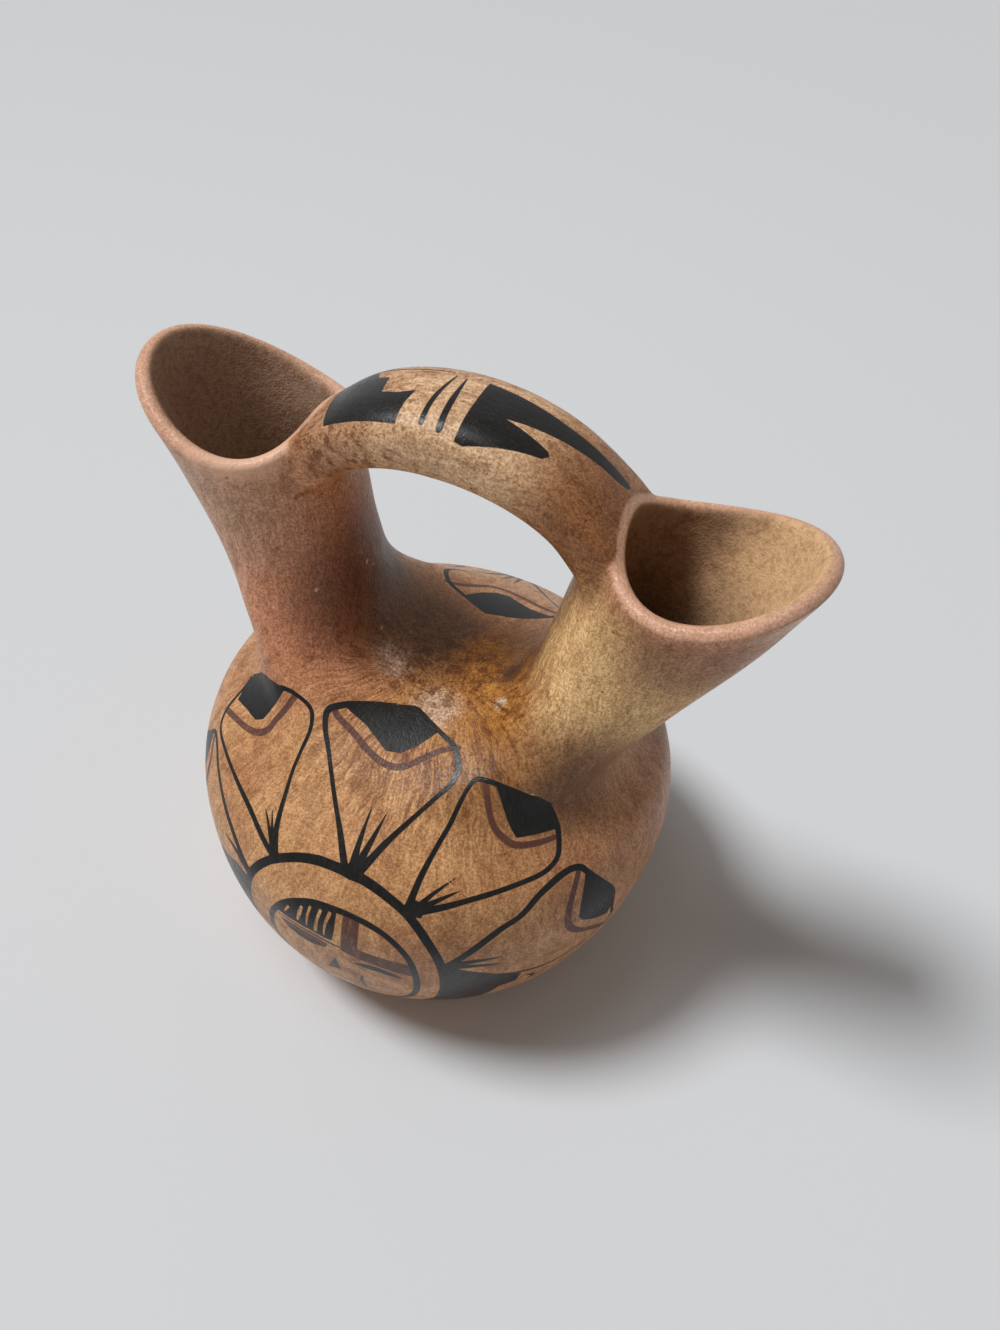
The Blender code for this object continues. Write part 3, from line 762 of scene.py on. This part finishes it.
def fired_clay(name, painted=False, along_strap=False):
    """Earthenware from an open fire: tan to russet, smoked, specked, polished, with painted shade and
    highlights.
    """
    clay = Clay(bpy.data.materials.new(name), along_strap)

    def darken(share, colour):
        return clay.blend(share, colour, DARKER, "MULTIPLY")

    def lighten(share, colour):
        return clay.blend(share, colour, LIGHTER, "MULTIPLY")

    broad = clay.mottle(0.026, 3.0)
    clots = clay.mottle(0.0046, 4.0, 0.62)
    grain = clay.mottle(0.00062, 2.0, 0.60)
    pores = clay.mottle(0.0016, 3.0, 0.70)
    rubbed = clay.combed(0.0007, 0.0046)
    strokes = clay.combed(0.0032, 0.0190, 4.0, 0.66)
    colour = clay.blend(clay.rise(broad * 0.55 + clots * 0.45, 0.42, 0.62), TAN, RUSSET)
    for centre, radius, hue, strength in CLOUDS_AND_PAINTED_LIGHT:
        share = clay.near(centre, radius, clots * 0.5 + strokes * 0.5)
        colour = clay.blend(share * strength, colour, hue)
    lip = clay.rise(clay.layer("lip"), 0.55, 1.0)
    colour = clay.blend(lip * (1.1 - clots * 0.5), colour, ROSE)
    inward = clay.layer("inside")
    # crest of the rim: paler where rubbed, and partly a painted highlight along its top
    crest = lip * clay.rise(inward, 0.0, 0.25) * clay.fall(inward, 0.65, 0.95)
    colour = clay.blend(crest * 0.35, colour, RIM_WEAR_AND_HIGHLIGHT)
    for centre, radius, hue, strength in LIP_PATCHES:
        colour = clay.blend(clay.near(centre, radius, clots) * lip * strength, colour, hue)
    smoky = clay.near(*SMOKY_SADDLE, clots)
    scorched = clay.near(*SCORCHED_ROOT, clots)
    colour = darken(clay.rise(strokes, 0.47, 0.60) * (0.24 + smoky * 0.72), colour)
    colour = lighten(clay.rise(1.0 - strokes, 0.50, 0.66) * (0.16 + smoky * 0.50), colour)
    colour = darken(clay.rise(rubbed, 0.47, 0.61) * (0.30 + smoky * 0.50), colour)
    colour = lighten(clay.rise(1.0 - rubbed, 0.52, 0.68) * (0.30 + smoky * 0.25), colour)
    colour = darken(clay.rise(grain, 0.45, 0.60) * 0.56, colour)
    colour = lighten(clay.rise(1.0 - grain, 0.54, 0.68) * 0.26, colour)
    patchy = clay.rise(pores * 0.6 + clots * 0.4, 0.50, 0.60)
    colour = darken(patchy * (0.30 + scorched * 0.65 + (0.25 if along_strap else 0.0)), colour)
    colour = clay.blend(crest * 0.32, colour, RIM_WEAR_AND_HIGHLIGHT)
    # painted highlight on the front of the left lip
    lip_highlight = clay.near(*LIP_FRONT_HIGHLIGHT, clots) * lip
    colour = clay.blend(lip_highlight * 0.80, colour, RIM_WEAR_AND_HIGHLIGHT)
    specks = clay.dots(0.0042, 0.00042, grain) * clay.rise(clots, 0.50, 0.56)
    colour = clay.blend(specks * 0.75, colour, SOOT)
    chips = clay.dots(0.0075, 0.0011, pores) * clay.rise(pores, 0.50, 0.56)
    colour = clay.blend(chips * 0.8, colour, CREAM)
    inside = clay.rise(inward, 0.55, 0.98)
    height = clay.node("ShaderNodeSeparateXYZ", {0: clay.place}, "Z")
    # painted shade deep in the mouths, much stronger in the right one
    deep_shade = clay.fall(height + (clots - 0.5) * 0.020, *SHADE_TO_LIT)
    along = clay.node("ShaderNodeSeparateXYZ", {0: clay.place}, "X")
    # the left inside is darker than the right, partly as painted shade
    to_right = clay.rise(along, -0.01, 0.01)
    cavity = clay.blend(to_right, INSIDE_LEFT_WITH_SHADE, INSIDE_RIGHT)
    # painted shadow of the strap and rim inside the right mouth, on its side towards the strap
    strap_shadow_edge = along - (height - STRAP_SHADOW_HEIGHT) * STRAP_SHADOW_LEAN + (clots - 0.5) * 0.016
    strap_shadow = to_right * clay.fall(strap_shadow_edge, *STRAP_SHADOW_TO_LIT) * 0.88
    deep_shade = clay.sum("MAXIMUM", deep_shade * (0.20 + to_right * 0.60), strap_shadow)
    cavity = clay.blend(deep_shade + clay.rise(clots, 0.48, 0.70) * 0.20, cavity, INSIDE_MOTTLE_AND_SHADE)
    flaked = clay.near(*FLAKED_MOUTH, clots) * clay.rise(clots, 0.48, 0.58)
    cavity = lighten(flaked * 0.9, cavity)
    cavity = darken(clay.rise(pores, 0.46, 0.62) * 0.42, cavity)
    cavity = lighten(clay.rise(1.0 - grain, 0.52, 0.66) * 0.30, cavity)
    colour = clay.blend(inside, colour, cavity)
    gloss = POLISHED + (clots - 0.5) * 0.25 + (grain - 0.5) * 0.30 + inside * 0.40 - lip * 0.08
    relief = (grain - 0.5) * (0.5 + inside) + (rubbed - 0.5) * 0.6 + pores * inside * 2.0
    relief = relief - specks * 0.8 - chips * 0.6 - patchy * 0.3
    if painted:
        edge = (grain - 0.5) * 0.35 + (clots - 0.5) * 0.25
        red = clay.fall(clay.layer("red") + edge, -0.10, 0.14)
        worn = 0.95 - clay.rise(rubbed, 0.50, 0.70) * 0.35
        colour = clay.blend(red * worn, colour, RED_SLIP)
        black = clay.fall(clay.layer("black") + edge, -0.10, 0.12)
        ink = clay.blend(clay.rise(rubbed, 0.40, 0.62), BLACK_PAINT, THIN_BLACK)
        colour = clay.blend(black * (1.0 - clay.rise(grain, 0.62, 0.78) * 0.10), colour, ink)
        relief = relief * (1.0 - black * 0.6) + (black + red) * 0.2
        gloss = gloss - black * 0.06
    clay.feed(clay.surface.inputs["Base Color"], colour)
    clay.feed(clay.surface.inputs["Roughness"], gloss)
    clay.feed(clay.surface.inputs["Specular IOR Level"], 0.24)
    bump = clay.node("ShaderNodeBump", {"Strength": 0.6, "Distance": RELIEF_DEPTH, "Height": relief})
    clay.feed(clay.surface.inputs["Normal"], bump)
    return clay.owner


fired(cut_out(BASE), fired_clay("base_clay"), "base")

# Painting: black paint boiled down from plants and ground mineral, and red-brown clay slip,
# brushed on before the firing. A sun's face in a ring, with feathers that fan out above it, is
# on the front and again on the back. Sizes here are millimetres on the clay from its middle.
PAINT_CENTRE = np.array([0.0, 0.0, 58.0])
FACING = np.array([0.03259, -0.99284, -0.11494])
ACROSS = np.array([0.99946, 0.03281, 0.0])
UPWARD = np.array([0.00377, -0.11488, 0.99337])
BACK_LIFT = -4.0
PAINTED_REACH = 76.0
FAR = 3.0
DRIFT_ALLOWED = 0.05
BESIDE_AN_EDGE = 0.7


def unrolled_body(points, inside):
    """Lays the outside of the body flat, in millimetres from the painting's middle."""
    spot = points * 1000.0
    back = spot[:, 1] > 0.0
    spot[back] *= [-1.0, -1.0, 1.0]
    out = spot - PAINT_CENTRE
    reach = np.linalg.norm(out, axis=1)
    angle = np.arccos(np.clip(out @ FACING / reach, -1.0, 1.0)) * BODY_RADIUS * 1000.0
    turn = np.arctan2(out @ ACROSS, out @ UPWARD)
    flat = np.stack([angle * np.sin(turn), angle * np.cos(turn)], axis=1)
    flat[back, 1] -= BACK_LIFT
    return flat, np.maximum(np.where(inside > 0.02, FAR, -FAR), reach - PAINTED_REACH)


def flowing(points, steps=5, shut=False):
    """A brush line through the points, with bends instead of corners."""
    points = np.array(points, float)
    if shut:
        before, after = points[-1:], points[:2]
    else:
        before, after = 2 * points[:1] - points[1:2], 2 * points[-1:] - points[-2:-1]
    run = np.concatenate([before, points, after])
    line = []
    for a, b, c, d in zip(run, run[1:], run[2:], run[3:]):
        for s in np.arange(steps) / steps:
            line.append(0.5 * (2 * b + (c - a) * s + (2 * a - 5 * b + 4 * c - d) * s ** 2
                               + (3 * b - a - 3 * c + d) * s ** 3))
    return np.array(line if shut else line + [run[-2]])


def stroke(points, *widths):
    """One pull of the brush; widths are spread evenly along it."""
    line = flowing(points)
    share = np.linspace(0.0, 1.0, len(line))
    return line, np.interp(share, np.linspace(0.0, 1.0, len(widths)), np.array(widths) / 2.0)


def area(points):
    """A filled shape."""
    return np.array(points, float), None


def closed(points, width):
    """One pull of the brush that ends where it began."""
    line = flowing(points, 4, True)
    line = np.concatenate([line, line[:1]])
    return line, np.full(len(line), width / 2.0)


def from_mark(flat, mark):
    """Distance of each point from the edge of a painted mark, negative inside it."""
    line, half = mark
    if half is None:
        start, end = line, np.roll(line, -1, axis=0)
        half = np.zeros(len(line))
        ends = half
    else:
        start, end, ends, half = line[:-1], line[1:], half[1:], half[:-1]
    away = np.full(len(flat), 1e3)
    inside = np.zeros(len(flat), bool)
    for a, b, wa, wb in zip(start, end, half, ends):
        along = b - a
        out = flat - a
        share = np.clip(out @ along / max(along @ along, 1e-9), 0.0, 1.0)
        gap = np.hypot(*(out - share[:, None] * along).T) - (wa + (wb - wa) * share)
        away = np.minimum(away, gap)
        if mark[1] is None and a[1] != b[1]:
            crossed = (a[1] > flat[:, 1]) != (b[1] > flat[:, 1])
            inside ^= crossed & (out[:, 0] < (flat[:, 1] - a[1]) * along[0] / along[1])
    return np.where(inside, -away, away)


def from_paint(flat, marks, bare=()):
    """Distance of each point from the edge of the paint, where bare strokes stay unpainted."""
    away = np.full(len(flat), FAR)
    for mark in marks:
        low, high = mark[0].min(0) - FAR, mark[0].max(0) + FAR
        close = np.all((flat > low) & (flat < high), axis=1)
        if close.any():
            away[close] = np.minimum(away[close], from_mark(flat[close], mark))
    return np.maximum(away, -from_paint(flat, bare)) if bare else away


def brush(bm, unrolled, colours, sweeps=4):
    """Gives each vertex its distance from the edge of every colour, in millimetres.

    Faces that are too coarse for the brushwork are split, without moving the surface.
    """
    depth = bm.verts.layers.float["inside"]
    layers = {name: bm.verts.layers.float.new(name) for name in colours}

    def distances(points, inside):
        flat, outside = unrolled(points, inside)
        return {name: np.maximum(from_paint(flat, *marks), outside) for name, marks in colours.items()}

    for sweep in range(sweeps):
        bm.verts.index_update()
        spots = np.array([v.co for v in bm.verts])
        inside = np.array([v[depth] for v in bm.verts])
        at = distances(spots, inside)
        if sweep == sweeps - 1:
            break
        ends = np.array([[v.index for v in e.verts] for e in bm.edges])
        halfway = distances(spots[ends].mean(axis=1), inside[ends].max(axis=1))
        coarse = np.zeros(len(ends), bool)
        for name in colours:
            pair = at[name][ends]
            drift = np.abs(halfway[name] - pair.mean(axis=1))
            nearest = np.minimum(np.abs(halfway[name]), np.abs(pair).min(axis=1))
            coarse |= (drift > DRIFT_ALLOWED) & (nearest < BESIDE_AN_EDGE)
        faces = {f for e, pick in zip(list(bm.edges), coarse) if pick for f in e.link_faces}
        edges = {e for f in faces for e in f.edges}
        bmesh.ops.subdivide_edges(bm, edges=list(edges), cuts=1, use_grid_fill=True)
    for name, layer in layers.items():
        for vertex, value in zip(bm.verts, np.clip(at[name], -FAR, FAR)):
            vertex[layer] = value
    bmesh.ops.triangulate(bm, faces=list(bm.faces), quad_method="BEAUTY", ngon_method="BEAUTY")
    return bm


ring_line = [(0, 31.1), (6.8, 30.3), (12.7, 28.2), (17.8, 25.3), (21.8, 21.2), (25.4, 15.8), (28, 10),
             (29.6, 3), (30.2, -5), (29.8, -14), (27.4, -24), (21, -33), (10.5, -39), (0, -41),
             (-10.5, -39), (-20.5, -33), (-27.5, -24), (-30.8, -14), (-31.8, -5), (-31.6, 3), (-30.3, 10),
             (-28.5, 15.6), (-26, 20.1), (-22.9, 23.8), (-18.5, 27.1), (-13.8, 29.5), (-8, 30.9)]
face_line = [(0, 20.1), (4.9, 19.8), (9.8, 18.6), (14.2, 16.4), (18.2, 12.4), (20.8, 7.2), (22.2, 0.2),
             (22.7, -8), (21.6, -17), (18, -25.5), (11, -32), (1, -34.5), (-9, -32.5), (-17, -26.5),
             (-21, -18), (-22.3, -9), (-21.8, 0), (-19.5, 7.1), (-16.3, 12.9), (-11.8, 16.9), (-6.5, 19.4)]
black_marks = [
    closed(ring_line, 2.6),
    closed(face_line, 1.9),
    # forehead: a dark quarter with pale strokes left in it, then brows, nose and mouth
    area([(-0.6, 20.2), (-0.4, 13), (-1, 7.4), (-2.6, 7.1), (-6.7, 7.6), (-9.4, 7.4), (-15, 7), (-19, 6.8),
          (-16.3, 12.9), (-11.8, 16.9), (-6.5, 19.4)]),
    stroke([(-18.6, 5.2), (-13, 5.8), (-6.5, 5.9), (1.4, 5.2)], 0.5, 0.8, 0.9, 0.8),
    stroke([(-15.6, 1.2), (-11.6, 0.6), (-7.6, 0.6), (-3.2, 1.8)], 0.5, 2.4, 2.2, 0.6),
    stroke([(5.2, -1.8), (8.6, -1.4), (11.5, -1.6), (15.2, -3), (18.8, -4.8)], 0.6, 2.8, 3.2, 2.4, 0.5),
    area([(-0.5, -3), (-3.6, -13.6), (0.8, -10.8)]),
    stroke([(7.1, -10.4), (6.6, -16.2), (7.6, -23.2)], 0.7, 1.5, 0.7),
    # feather at the top
    stroke([(-1.2, 31), (-7.5, 38.7), (-13.7, 45.2), (-20, 52), (-26, 58), (-32, 63.5), (-35, 68),
            (-34, 71), (-30, 75.2), (-22.3, 80.4), (-14, 84.2)], 2.2, 1.5, 1.5, 1.8, 2.6, 2.6, 1.8),
    stroke([(1.8, 31), (7.4, 40.8), (13.7, 49.5), (19.6, 57), (24.3, 62.6), (25.9, 67.2), (24.6, 72.2),
            (21.4, 76.2), (16.6, 78.8), (10.8, 81.8), (5, 84.6)], 2.6, 1.7, 1.7, 2.2, 2.4, 2, 1.6),
    area([(-31.5, 73), (-30, 76), (-22, 80.5), (-12, 85.5), (-3, 88.5), (5, 85.5), (14, 81), (6, 72.5),
          (0, 68), (-6, 66.8), (-12, 69), (-20, 71.8)]),
    stroke([(0.2, 31), (-0.9, 40), (-1.4, 49.5)], 2.6, 1.6, 0.3),
    stroke([(0.8, 31), (2.7, 40), (4.6, 49.5)], 3, 1.8, 0.3),
    area([(-2.6, 31), (0, 36), (3.8, 35), (4, 31)]),
    # feather at the right
    stroke([(18.3, 26), (20.2, 34), (23.3, 42), (26.6, 49.9), (28.6, 56.8), (30.4, 61.8), (33, 65.3),
            (38, 64.8), (43, 63), (48, 61), (53, 58.8)], 2.2, 1.7, 1.7, 1.5, 1.8, 1.8, 1.4),
    stroke([(20, 25.5), (27.2, 27.6), (34.1, 29.6), (42.2, 31.4), (50.2, 32.9), (57, 34.2), (61.5, 36.5),
            (63.2, 40), (63.2, 46), (61.2, 51), (58.6, 55)], 2.4, 1.6, 1.4, 1.6, 2, 2),
    area([(39.5, 63.8), (47, 62), (54, 59.5), (59.5, 56), (62.5, 51), (63.2, 46), (54, 45.8), (49, 45.8),
          (46.5, 50), (43, 57)]),
    stroke([(20, 26.5), (25, 31.3), (30.8, 35.4)], 1.8, 1.1, 0.3),
    stroke([(21, 26.5), (27, 29.9), (32.2, 32.2)], 2, 1.2, 0.3),
    area([(16.5, 25), (18.5, 29.5), (23.5, 28), (22.5, 24)]),
    # feather at the left
    stroke([(-22.6, 23.8), (-26.8, 31), (-30.5, 38.2), (-33.5, 45.2), (-34.9, 52.2), (-36, 60.2),
            (-40, 65.5), (-47, 65.8), (-52, 64)], 2.4, 1.6, 1.3, 1.5, 1.4, 1.4),
    stroke([(-24, 24), (-38, 29), (-50, 30.5), (-60.2, 30.6), (-69.5, 30.4), (-74, 33.5), (-76, 38),
            (-77, 43), (-78, 47)], 2, 1.3, 1.3, 1.3, 1.5),
    area([(-50.5, 64.8), (-52, 61), (-55, 55), (-57, 48), (-60, 45), (-67, 43), (-74.5, 39.5), (-76, 42),
          (-78, 49), (-72, 55.5), (-62, 61)]),
    stroke([(-23.2, 24), (-27.5, 29.5), (-31.2, 33.6)], 1.8, 1, 0.3),
    stroke([(-23.8, 24.4), (-29, 29.6), (-33.6, 32.6)], 1.8, 1, 0.3),
    # feather at the lower right
    stroke([(31.5, 6.5), (38, 14), (44, 19.5), (50, 23), (55, 28), (60.2, 31), (65, 32.5), (69, 31.8),
            (71.6, 28.8), (77.6, 20.5), (81.4, 13.4), (82, 5.6), (82.8, -2), (84, -8)],
           2.6, 2, 2.3, 1.8, 1.3, 1.2),
    area([(70.5, 29), (75, 24.8), (81.6, 13.6), (82, 6), (80.8, -1.2), (75, 4.2), (69.7, 9.8), (68.4, 12.7),
          (68.8, 18)]),
    stroke([(31.5, 3), (42, -3.6), (52, -9.6), (61, -13.4), (71, -14.4), (79, -13.2), (84, -8)],
           2, 1.4, 1.3, 1.3, 1.3),
    stroke([(31.5, 6.2), (38.2, 7.3), (45.6, 7.4)], 2.6, 2.2, 0.4),
    stroke([(31.5, 4.8), (39.2, 4.3), (46, 2.8)], 2.6, 1.8, 0.4),
    # feather at the far left
    stroke([(-31, 12.5), (-40, 17.5), (-50, 21.5), (-60, 25), (-66, 27), (-71.5, 26.5), (-76, 20),
            (-80, 14), (-82, 6), (-83, -3), (-84, -10)], 2.4, 1.6, 1.5, 1.5, 1.3),
    area([(-71.5, 25), (-76, 20.5), (-80.5, 13), (-82, 4), (-82.4, -3), (-80.6, -6), (-77, -0.5),
          (-72, 5.5), (-68.6, 10.5), (-68.6, 16)]),
    stroke([(-31, 8), (-42, 0), (-52, -7), (-62, -12), (-72, -15), (-80, -15), (-84, -10)],
           2, 1.4, 1.3, 1.3, 1.3),
    stroke([(-30.6, 11.3), (-37, 13.6), (-44, 13.6)], 2.4, 1.8, 0.4),
    # stepped blocks that run down beside the ring
    area([(29.4, 4.4), (33, 3.8), (42, -2), (47, -7), (52, -11), (50.5, -18), (45.5, -19.2), (42.5, -25),
          (39.5, -31), (34, -35), (25, -29), (29, -14)]),
    area([(-31, 9), (-37, 8.8), (-41.5, 5.4), (-47, 2), (-51, -4), (-46.5, -8), (-44.5, -15), (-40, -16),
          (-39, -24), (-34, -27), (-27.5, -25), (-31.4, -10)]),
    stroke([(53.8, -15.5), (55.8, -19), (54.4, -22.5)], 0.8, 1.6, 0.8),
    stroke([(-52.5, -12.5), (-54.5, -16), (-53, -19.5)], 0.8, 1.6, 0.8),
]
bare_strokes = [
    stroke([(-16.2, 9), (-15, 12.2)], 0.4, 0.9),
    stroke([(-11.7, 9.2), (-11.2, 12.8), (-10.8, 15.4)], 0.7, 1.3, 0.9),
    stroke([(-8.8, 9), (-8.7, 13.6), (-8.3, 17)], 0.4, 0.8, 0.9),
    stroke([(-6, 8.8), (-5.7, 13.6), (-5.2, 17.6)], 1.1, 0.8, 1),
    stroke([(-3.4, 8.6), (-3.2, 13.6), (-2.4, 18.2)], 0.5, 0.8, 1),
]
red_marks = [
    area([(1.4, 19.8), (1.7, 12.4), (1.5, 3.8), (5.8, 2.2), (10.6, 1.2), (15.3, -0.4), (21.8, -2.4),
          (21.4, 4.8), (15.3, 6), (10.7, 6.8), (6.4, 7.6), (6.4, 14.6), (6.1, 19.2)]),
    area([(-18, 3.8), (-13, 4.8), (-8, 5), (-2.2, 4.2), (-3, 2), (-7.6, 0.4), (-12.2, 0.2), (-16.6, 1.6)]),
    stroke([(-34.2, 70.4), (-31, 68.8), (-22, 67), (-12, 64), (-3, 62.5), (4, 64), (10, 68.5), (16, 72.5),
            (21, 74.5), (24.6, 75.2)], 2, 2.3, 2.3, 2.4, 1.8),
    stroke([(36, 64.6), (38, 58), (41, 50.5), (45, 46), (49, 43.6), (56, 43), (61.8, 43.4)],
           2, 2, 2.2, 2.2, 1.8),
    stroke([(-46.5, 65), (-48, 60), (-51, 53), (-52, 48), (-55, 44), (-60, 41), (-68, 37.5), (-74, 34.5)],
           2, 2.3, 2.5, 1.9, 1.8),
    stroke([(68.3, 31), (66, 24), (64.8, 17), (65.2, 11), (69, 4), (74, -2), (78.5, -9), (80.5, -13)],
           1.8, 2.2, 2.4, 2.2, 1.6),
    stroke([(-70, 25.5), (-66, 21), (-64.6, 15), (-65, 9.5), (-68.5, 3), (-73.5, -3), (-78, -9),
            (-80, -12)], 1.8, 2.2, 2.4, 2.2, 1.6),
]
body_colours = {"black": (black_marks, bare_strokes), "red": (red_marks,)}

# Lower wall: coils of clay added to the base dish, pinched and scraped thin, up to the widest
# level of the pot. Its outside is rubbed with a stone and carries the lower half of the painting.
fired(brush(cut_out(LOWER_WALL), unrolled_body, body_colours),
      fired_clay("lower_wall_clay", painted=True), "lower_wall")

# Shoulder: the wall above the widest level, drawn in towards the two necks. The same tan clay,
# stone-polished, with the feathers of the painting.
fired(brush(cut_out(SHOULDER), unrolled_body, body_colours),
      fired_clay("shoulder_clay", painted=True), "shoulder")

# Necks: two leaning tubes raised from the shoulder, smoked brown on the left and golden on the
# right, streaked by the polishing stone. The tips of the feathers reach onto their feet.
# Shade is painted on the right side of the left neck and under the outside of the right neck.
for node, piece in (("neck_right", NECK_RIGHT), ("neck_left", NECK_LEFT)):
    fired(brush(cut_out(piece), unrolled_body, body_colours),
          fired_clay(node + "_clay", painted=True), node)

# Lips: the last coil of each neck, pulled out into a pouring mouth and rolled over by hand.
# The rim is rubbed most, and fired a clear rose-tan; its crest and the left lip's front carry painted
# highlight.
for node, piece in (("lip_right", LIP_RIGHT), ("lip_left", LIP_LEFT)):
    fired(cut_out(piece), fired_clay(node + "_clay"), node)

# Handle: a broad strap of clay luted on between the mouths and smoothed into them. Its top is
# painted in black with stepped and forked blocks. Sizes are millimetres along and across it.
STRAP_CENTRE_HEIGHT = 146.0
STRAP_ROLL = 38.0
STRAP_ARCH_STRETCH = 0.86
PAINTED_ABOVE = 33.0
strap_marks = [
    area([(-33.5, -12.5), (-35, -5), (-37, 3), (-38, 6), (-32, 8.8), (-28, 7.6), (-25.5, 3), (-22.5, 2.5),
          (-21, -4.3), (-17, -4.5), (-13.2, -3), (-14, -8), (-14.5, -13), (-24, -12.8)]),
    stroke([(-29, 7.6), (-20, 7.2), (-9, 7.4)], 1.2, 0.8, 0.5),
    stroke([(-7.5, 5.8), (-8.2, -3), (-8.3, -11.8)], 0.4, 1.2, 1.3),
    stroke([(-4.9, 5.2), (-4.2, -4), (-3.6, -12.2)], 0.4, 1.5, 1.6),
    area([(0.2, 6.3), (8, 5.8), (20, 5), (30, 5.2), (37, 6), (38, 5.4), (37, 3.8), (34, 2.2), (30, 1.3),
          (22, -0.5), (14, -2.5), (8.6, -4), (14, -4.9), (19.6, -6.2), (20.5, -7.2), (19.5, -8.8),
          (14, -10.5), (8, -12.5), (3, -13.8), (0.8, -13.5)]),
]


def unrolled_strap(points, inside):
    """Lays the top of the strap flat, in millimetres from its crown."""
    along, across, up = points.T * 1000.0
    up = up - STRAP_CENTRE_HEIGHT
    flat = np.stack([STRAP_ROLL * np.arctan2(along, up), across], axis=1)
    below = PAINTED_ABOVE - np.hypot(along * STRAP_ARCH_STRETCH, up)
    return flat, np.clip(below, -FAR, FAR)


fired(brush(cut_out(HANDLE), unrolled_strap, {"black": (strap_marks,), "red": ([],)}),
      fired_clay("handle_clay", painted=True, along_strap=True), "handle")

# Floor: a plain pale sheet of matt card, far wider than the view. The vase stands on it, and
# it keeps the shadow.
SHEET_COLOUR = (0.80, 0.825, 0.845)
SHEET_REACH = 6.0
bm = bmesh.new()
bmesh.ops.create_grid(bm, x_segments=1, y_segments=1, size=SHEET_REACH)
mesh = bpy.data.meshes.new("floor")
bm.to_mesh(mesh)
bm.free()
sheet = Finish(bpy.data.materials.new("floor"))
sheet.feed(sheet.surface.inputs["Base Color"], SHEET_COLOUR)
sheet.feed(sheet.surface.inputs["Roughness"], 0.7)
sheet.feed(sheet.surface.inputs["Specular IOR Level"], 0.2)
mesh.materials.append(sheet.owner)
floor = placed("floor", mesh)

# Light: daylight from a window to the left, a paler one overhead, and a pale room all round.
# The room lights the clay weakly, and shows its own grey to the camera and to reflections.
DAYLIGHT_TURN, DAYLIGHT_HEIGHT = math.radians(194.0), math.radians(56.0)
DAYLIGHT_STRENGTH, DAYLIGHT_COLOUR = 2.1, (0.975, 0.985, 1.0)
SKYLIGHT_STRENGTH, SKYLIGHT_COLOUR = 1.0, (0.97, 0.98, 1.0)
SKYLIGHT_PLACE, SKYLIGHT_SIZE = (-0.26, -0.10, 1.0), 0.30
ROOM = 0.17
ROOM_LIGHT = (1.0, 0.92, 0.86)
BACKDROP = (0.61, 0.62, 0.63)


def lamp(name, kind, place, energy, colour):
    light = bpy.data.lights.new(name, kind)
    light.energy = energy
    light.color = colour
    item = placed(name, light)
    item.location = place
    item.rotation_euler = Vector(place).to_track_quat("Z", "Y").to_euler()
    return light


daylight = lamp("daylight", "SUN", (math.cos(DAYLIGHT_TURN) * math.cos(DAYLIGHT_HEIGHT),
                                    math.sin(DAYLIGHT_TURN) * math.cos(DAYLIGHT_HEIGHT),
                                    math.sin(DAYLIGHT_HEIGHT)), DAYLIGHT_STRENGTH, DAYLIGHT_COLOUR)
daylight.angle = math.radians(16.0)
skylight = lamp("skylight", "AREA", SKYLIGHT_PLACE, SKYLIGHT_STRENGTH, SKYLIGHT_COLOUR)
skylight.size = SKYLIGHT_SIZE
world = bpy.data.worlds.new("room")
bpy.context.scene.world = world
room = Finish(world)
seen = room.node("ShaderNodeLightPath", output="Is Camera Ray")
for ray in ("Is Glossy Ray", "Is Transmission Ray"):
    seen = room.sum("MAXIMUM", seen, room.node("ShaderNodeLightPath", output=ray))
room.feed(room.surface.inputs["Color"], room.blend(seen, ROOM_LIGHT, BACKDROP))
room.feed(room.surface.inputs["Strength"], ROOM + seen * (1.0 - ROOM))

# Camera: held by hand close above the vase, a little to the right, looking down on its front
# and rolled a few degrees.
LENS = 27.07
CAMERA_PLACE = (0.068569, -0.179410, 0.305434)
camera = placed("camera", bpy.data.cameras.new("camera"))
camera.data.lens = LENS
azimuth, elevation, roll = (math.radians(a) for a in (16.795, 47.040, 8.744))
back = Vector((math.sin(azimuth) * math.cos(elevation), -math.cos(azimuth) * math.cos(elevation),
               math.sin(elevation)))
level = (-back).cross(Vector((0.0, 0.0, 1.0))).normalized()
up = level.cross(-back)
right = level * math.cos(roll) + up * math.sin(roll)
place = Matrix((right, back.cross(right), back)).transposed().to_4x4()
place.translation = CAMERA_PLACE
camera.matrix_world = place
bpy.context.scene.camera = camera
bpy.context.scene.view_settings.view_transform = "Standard"
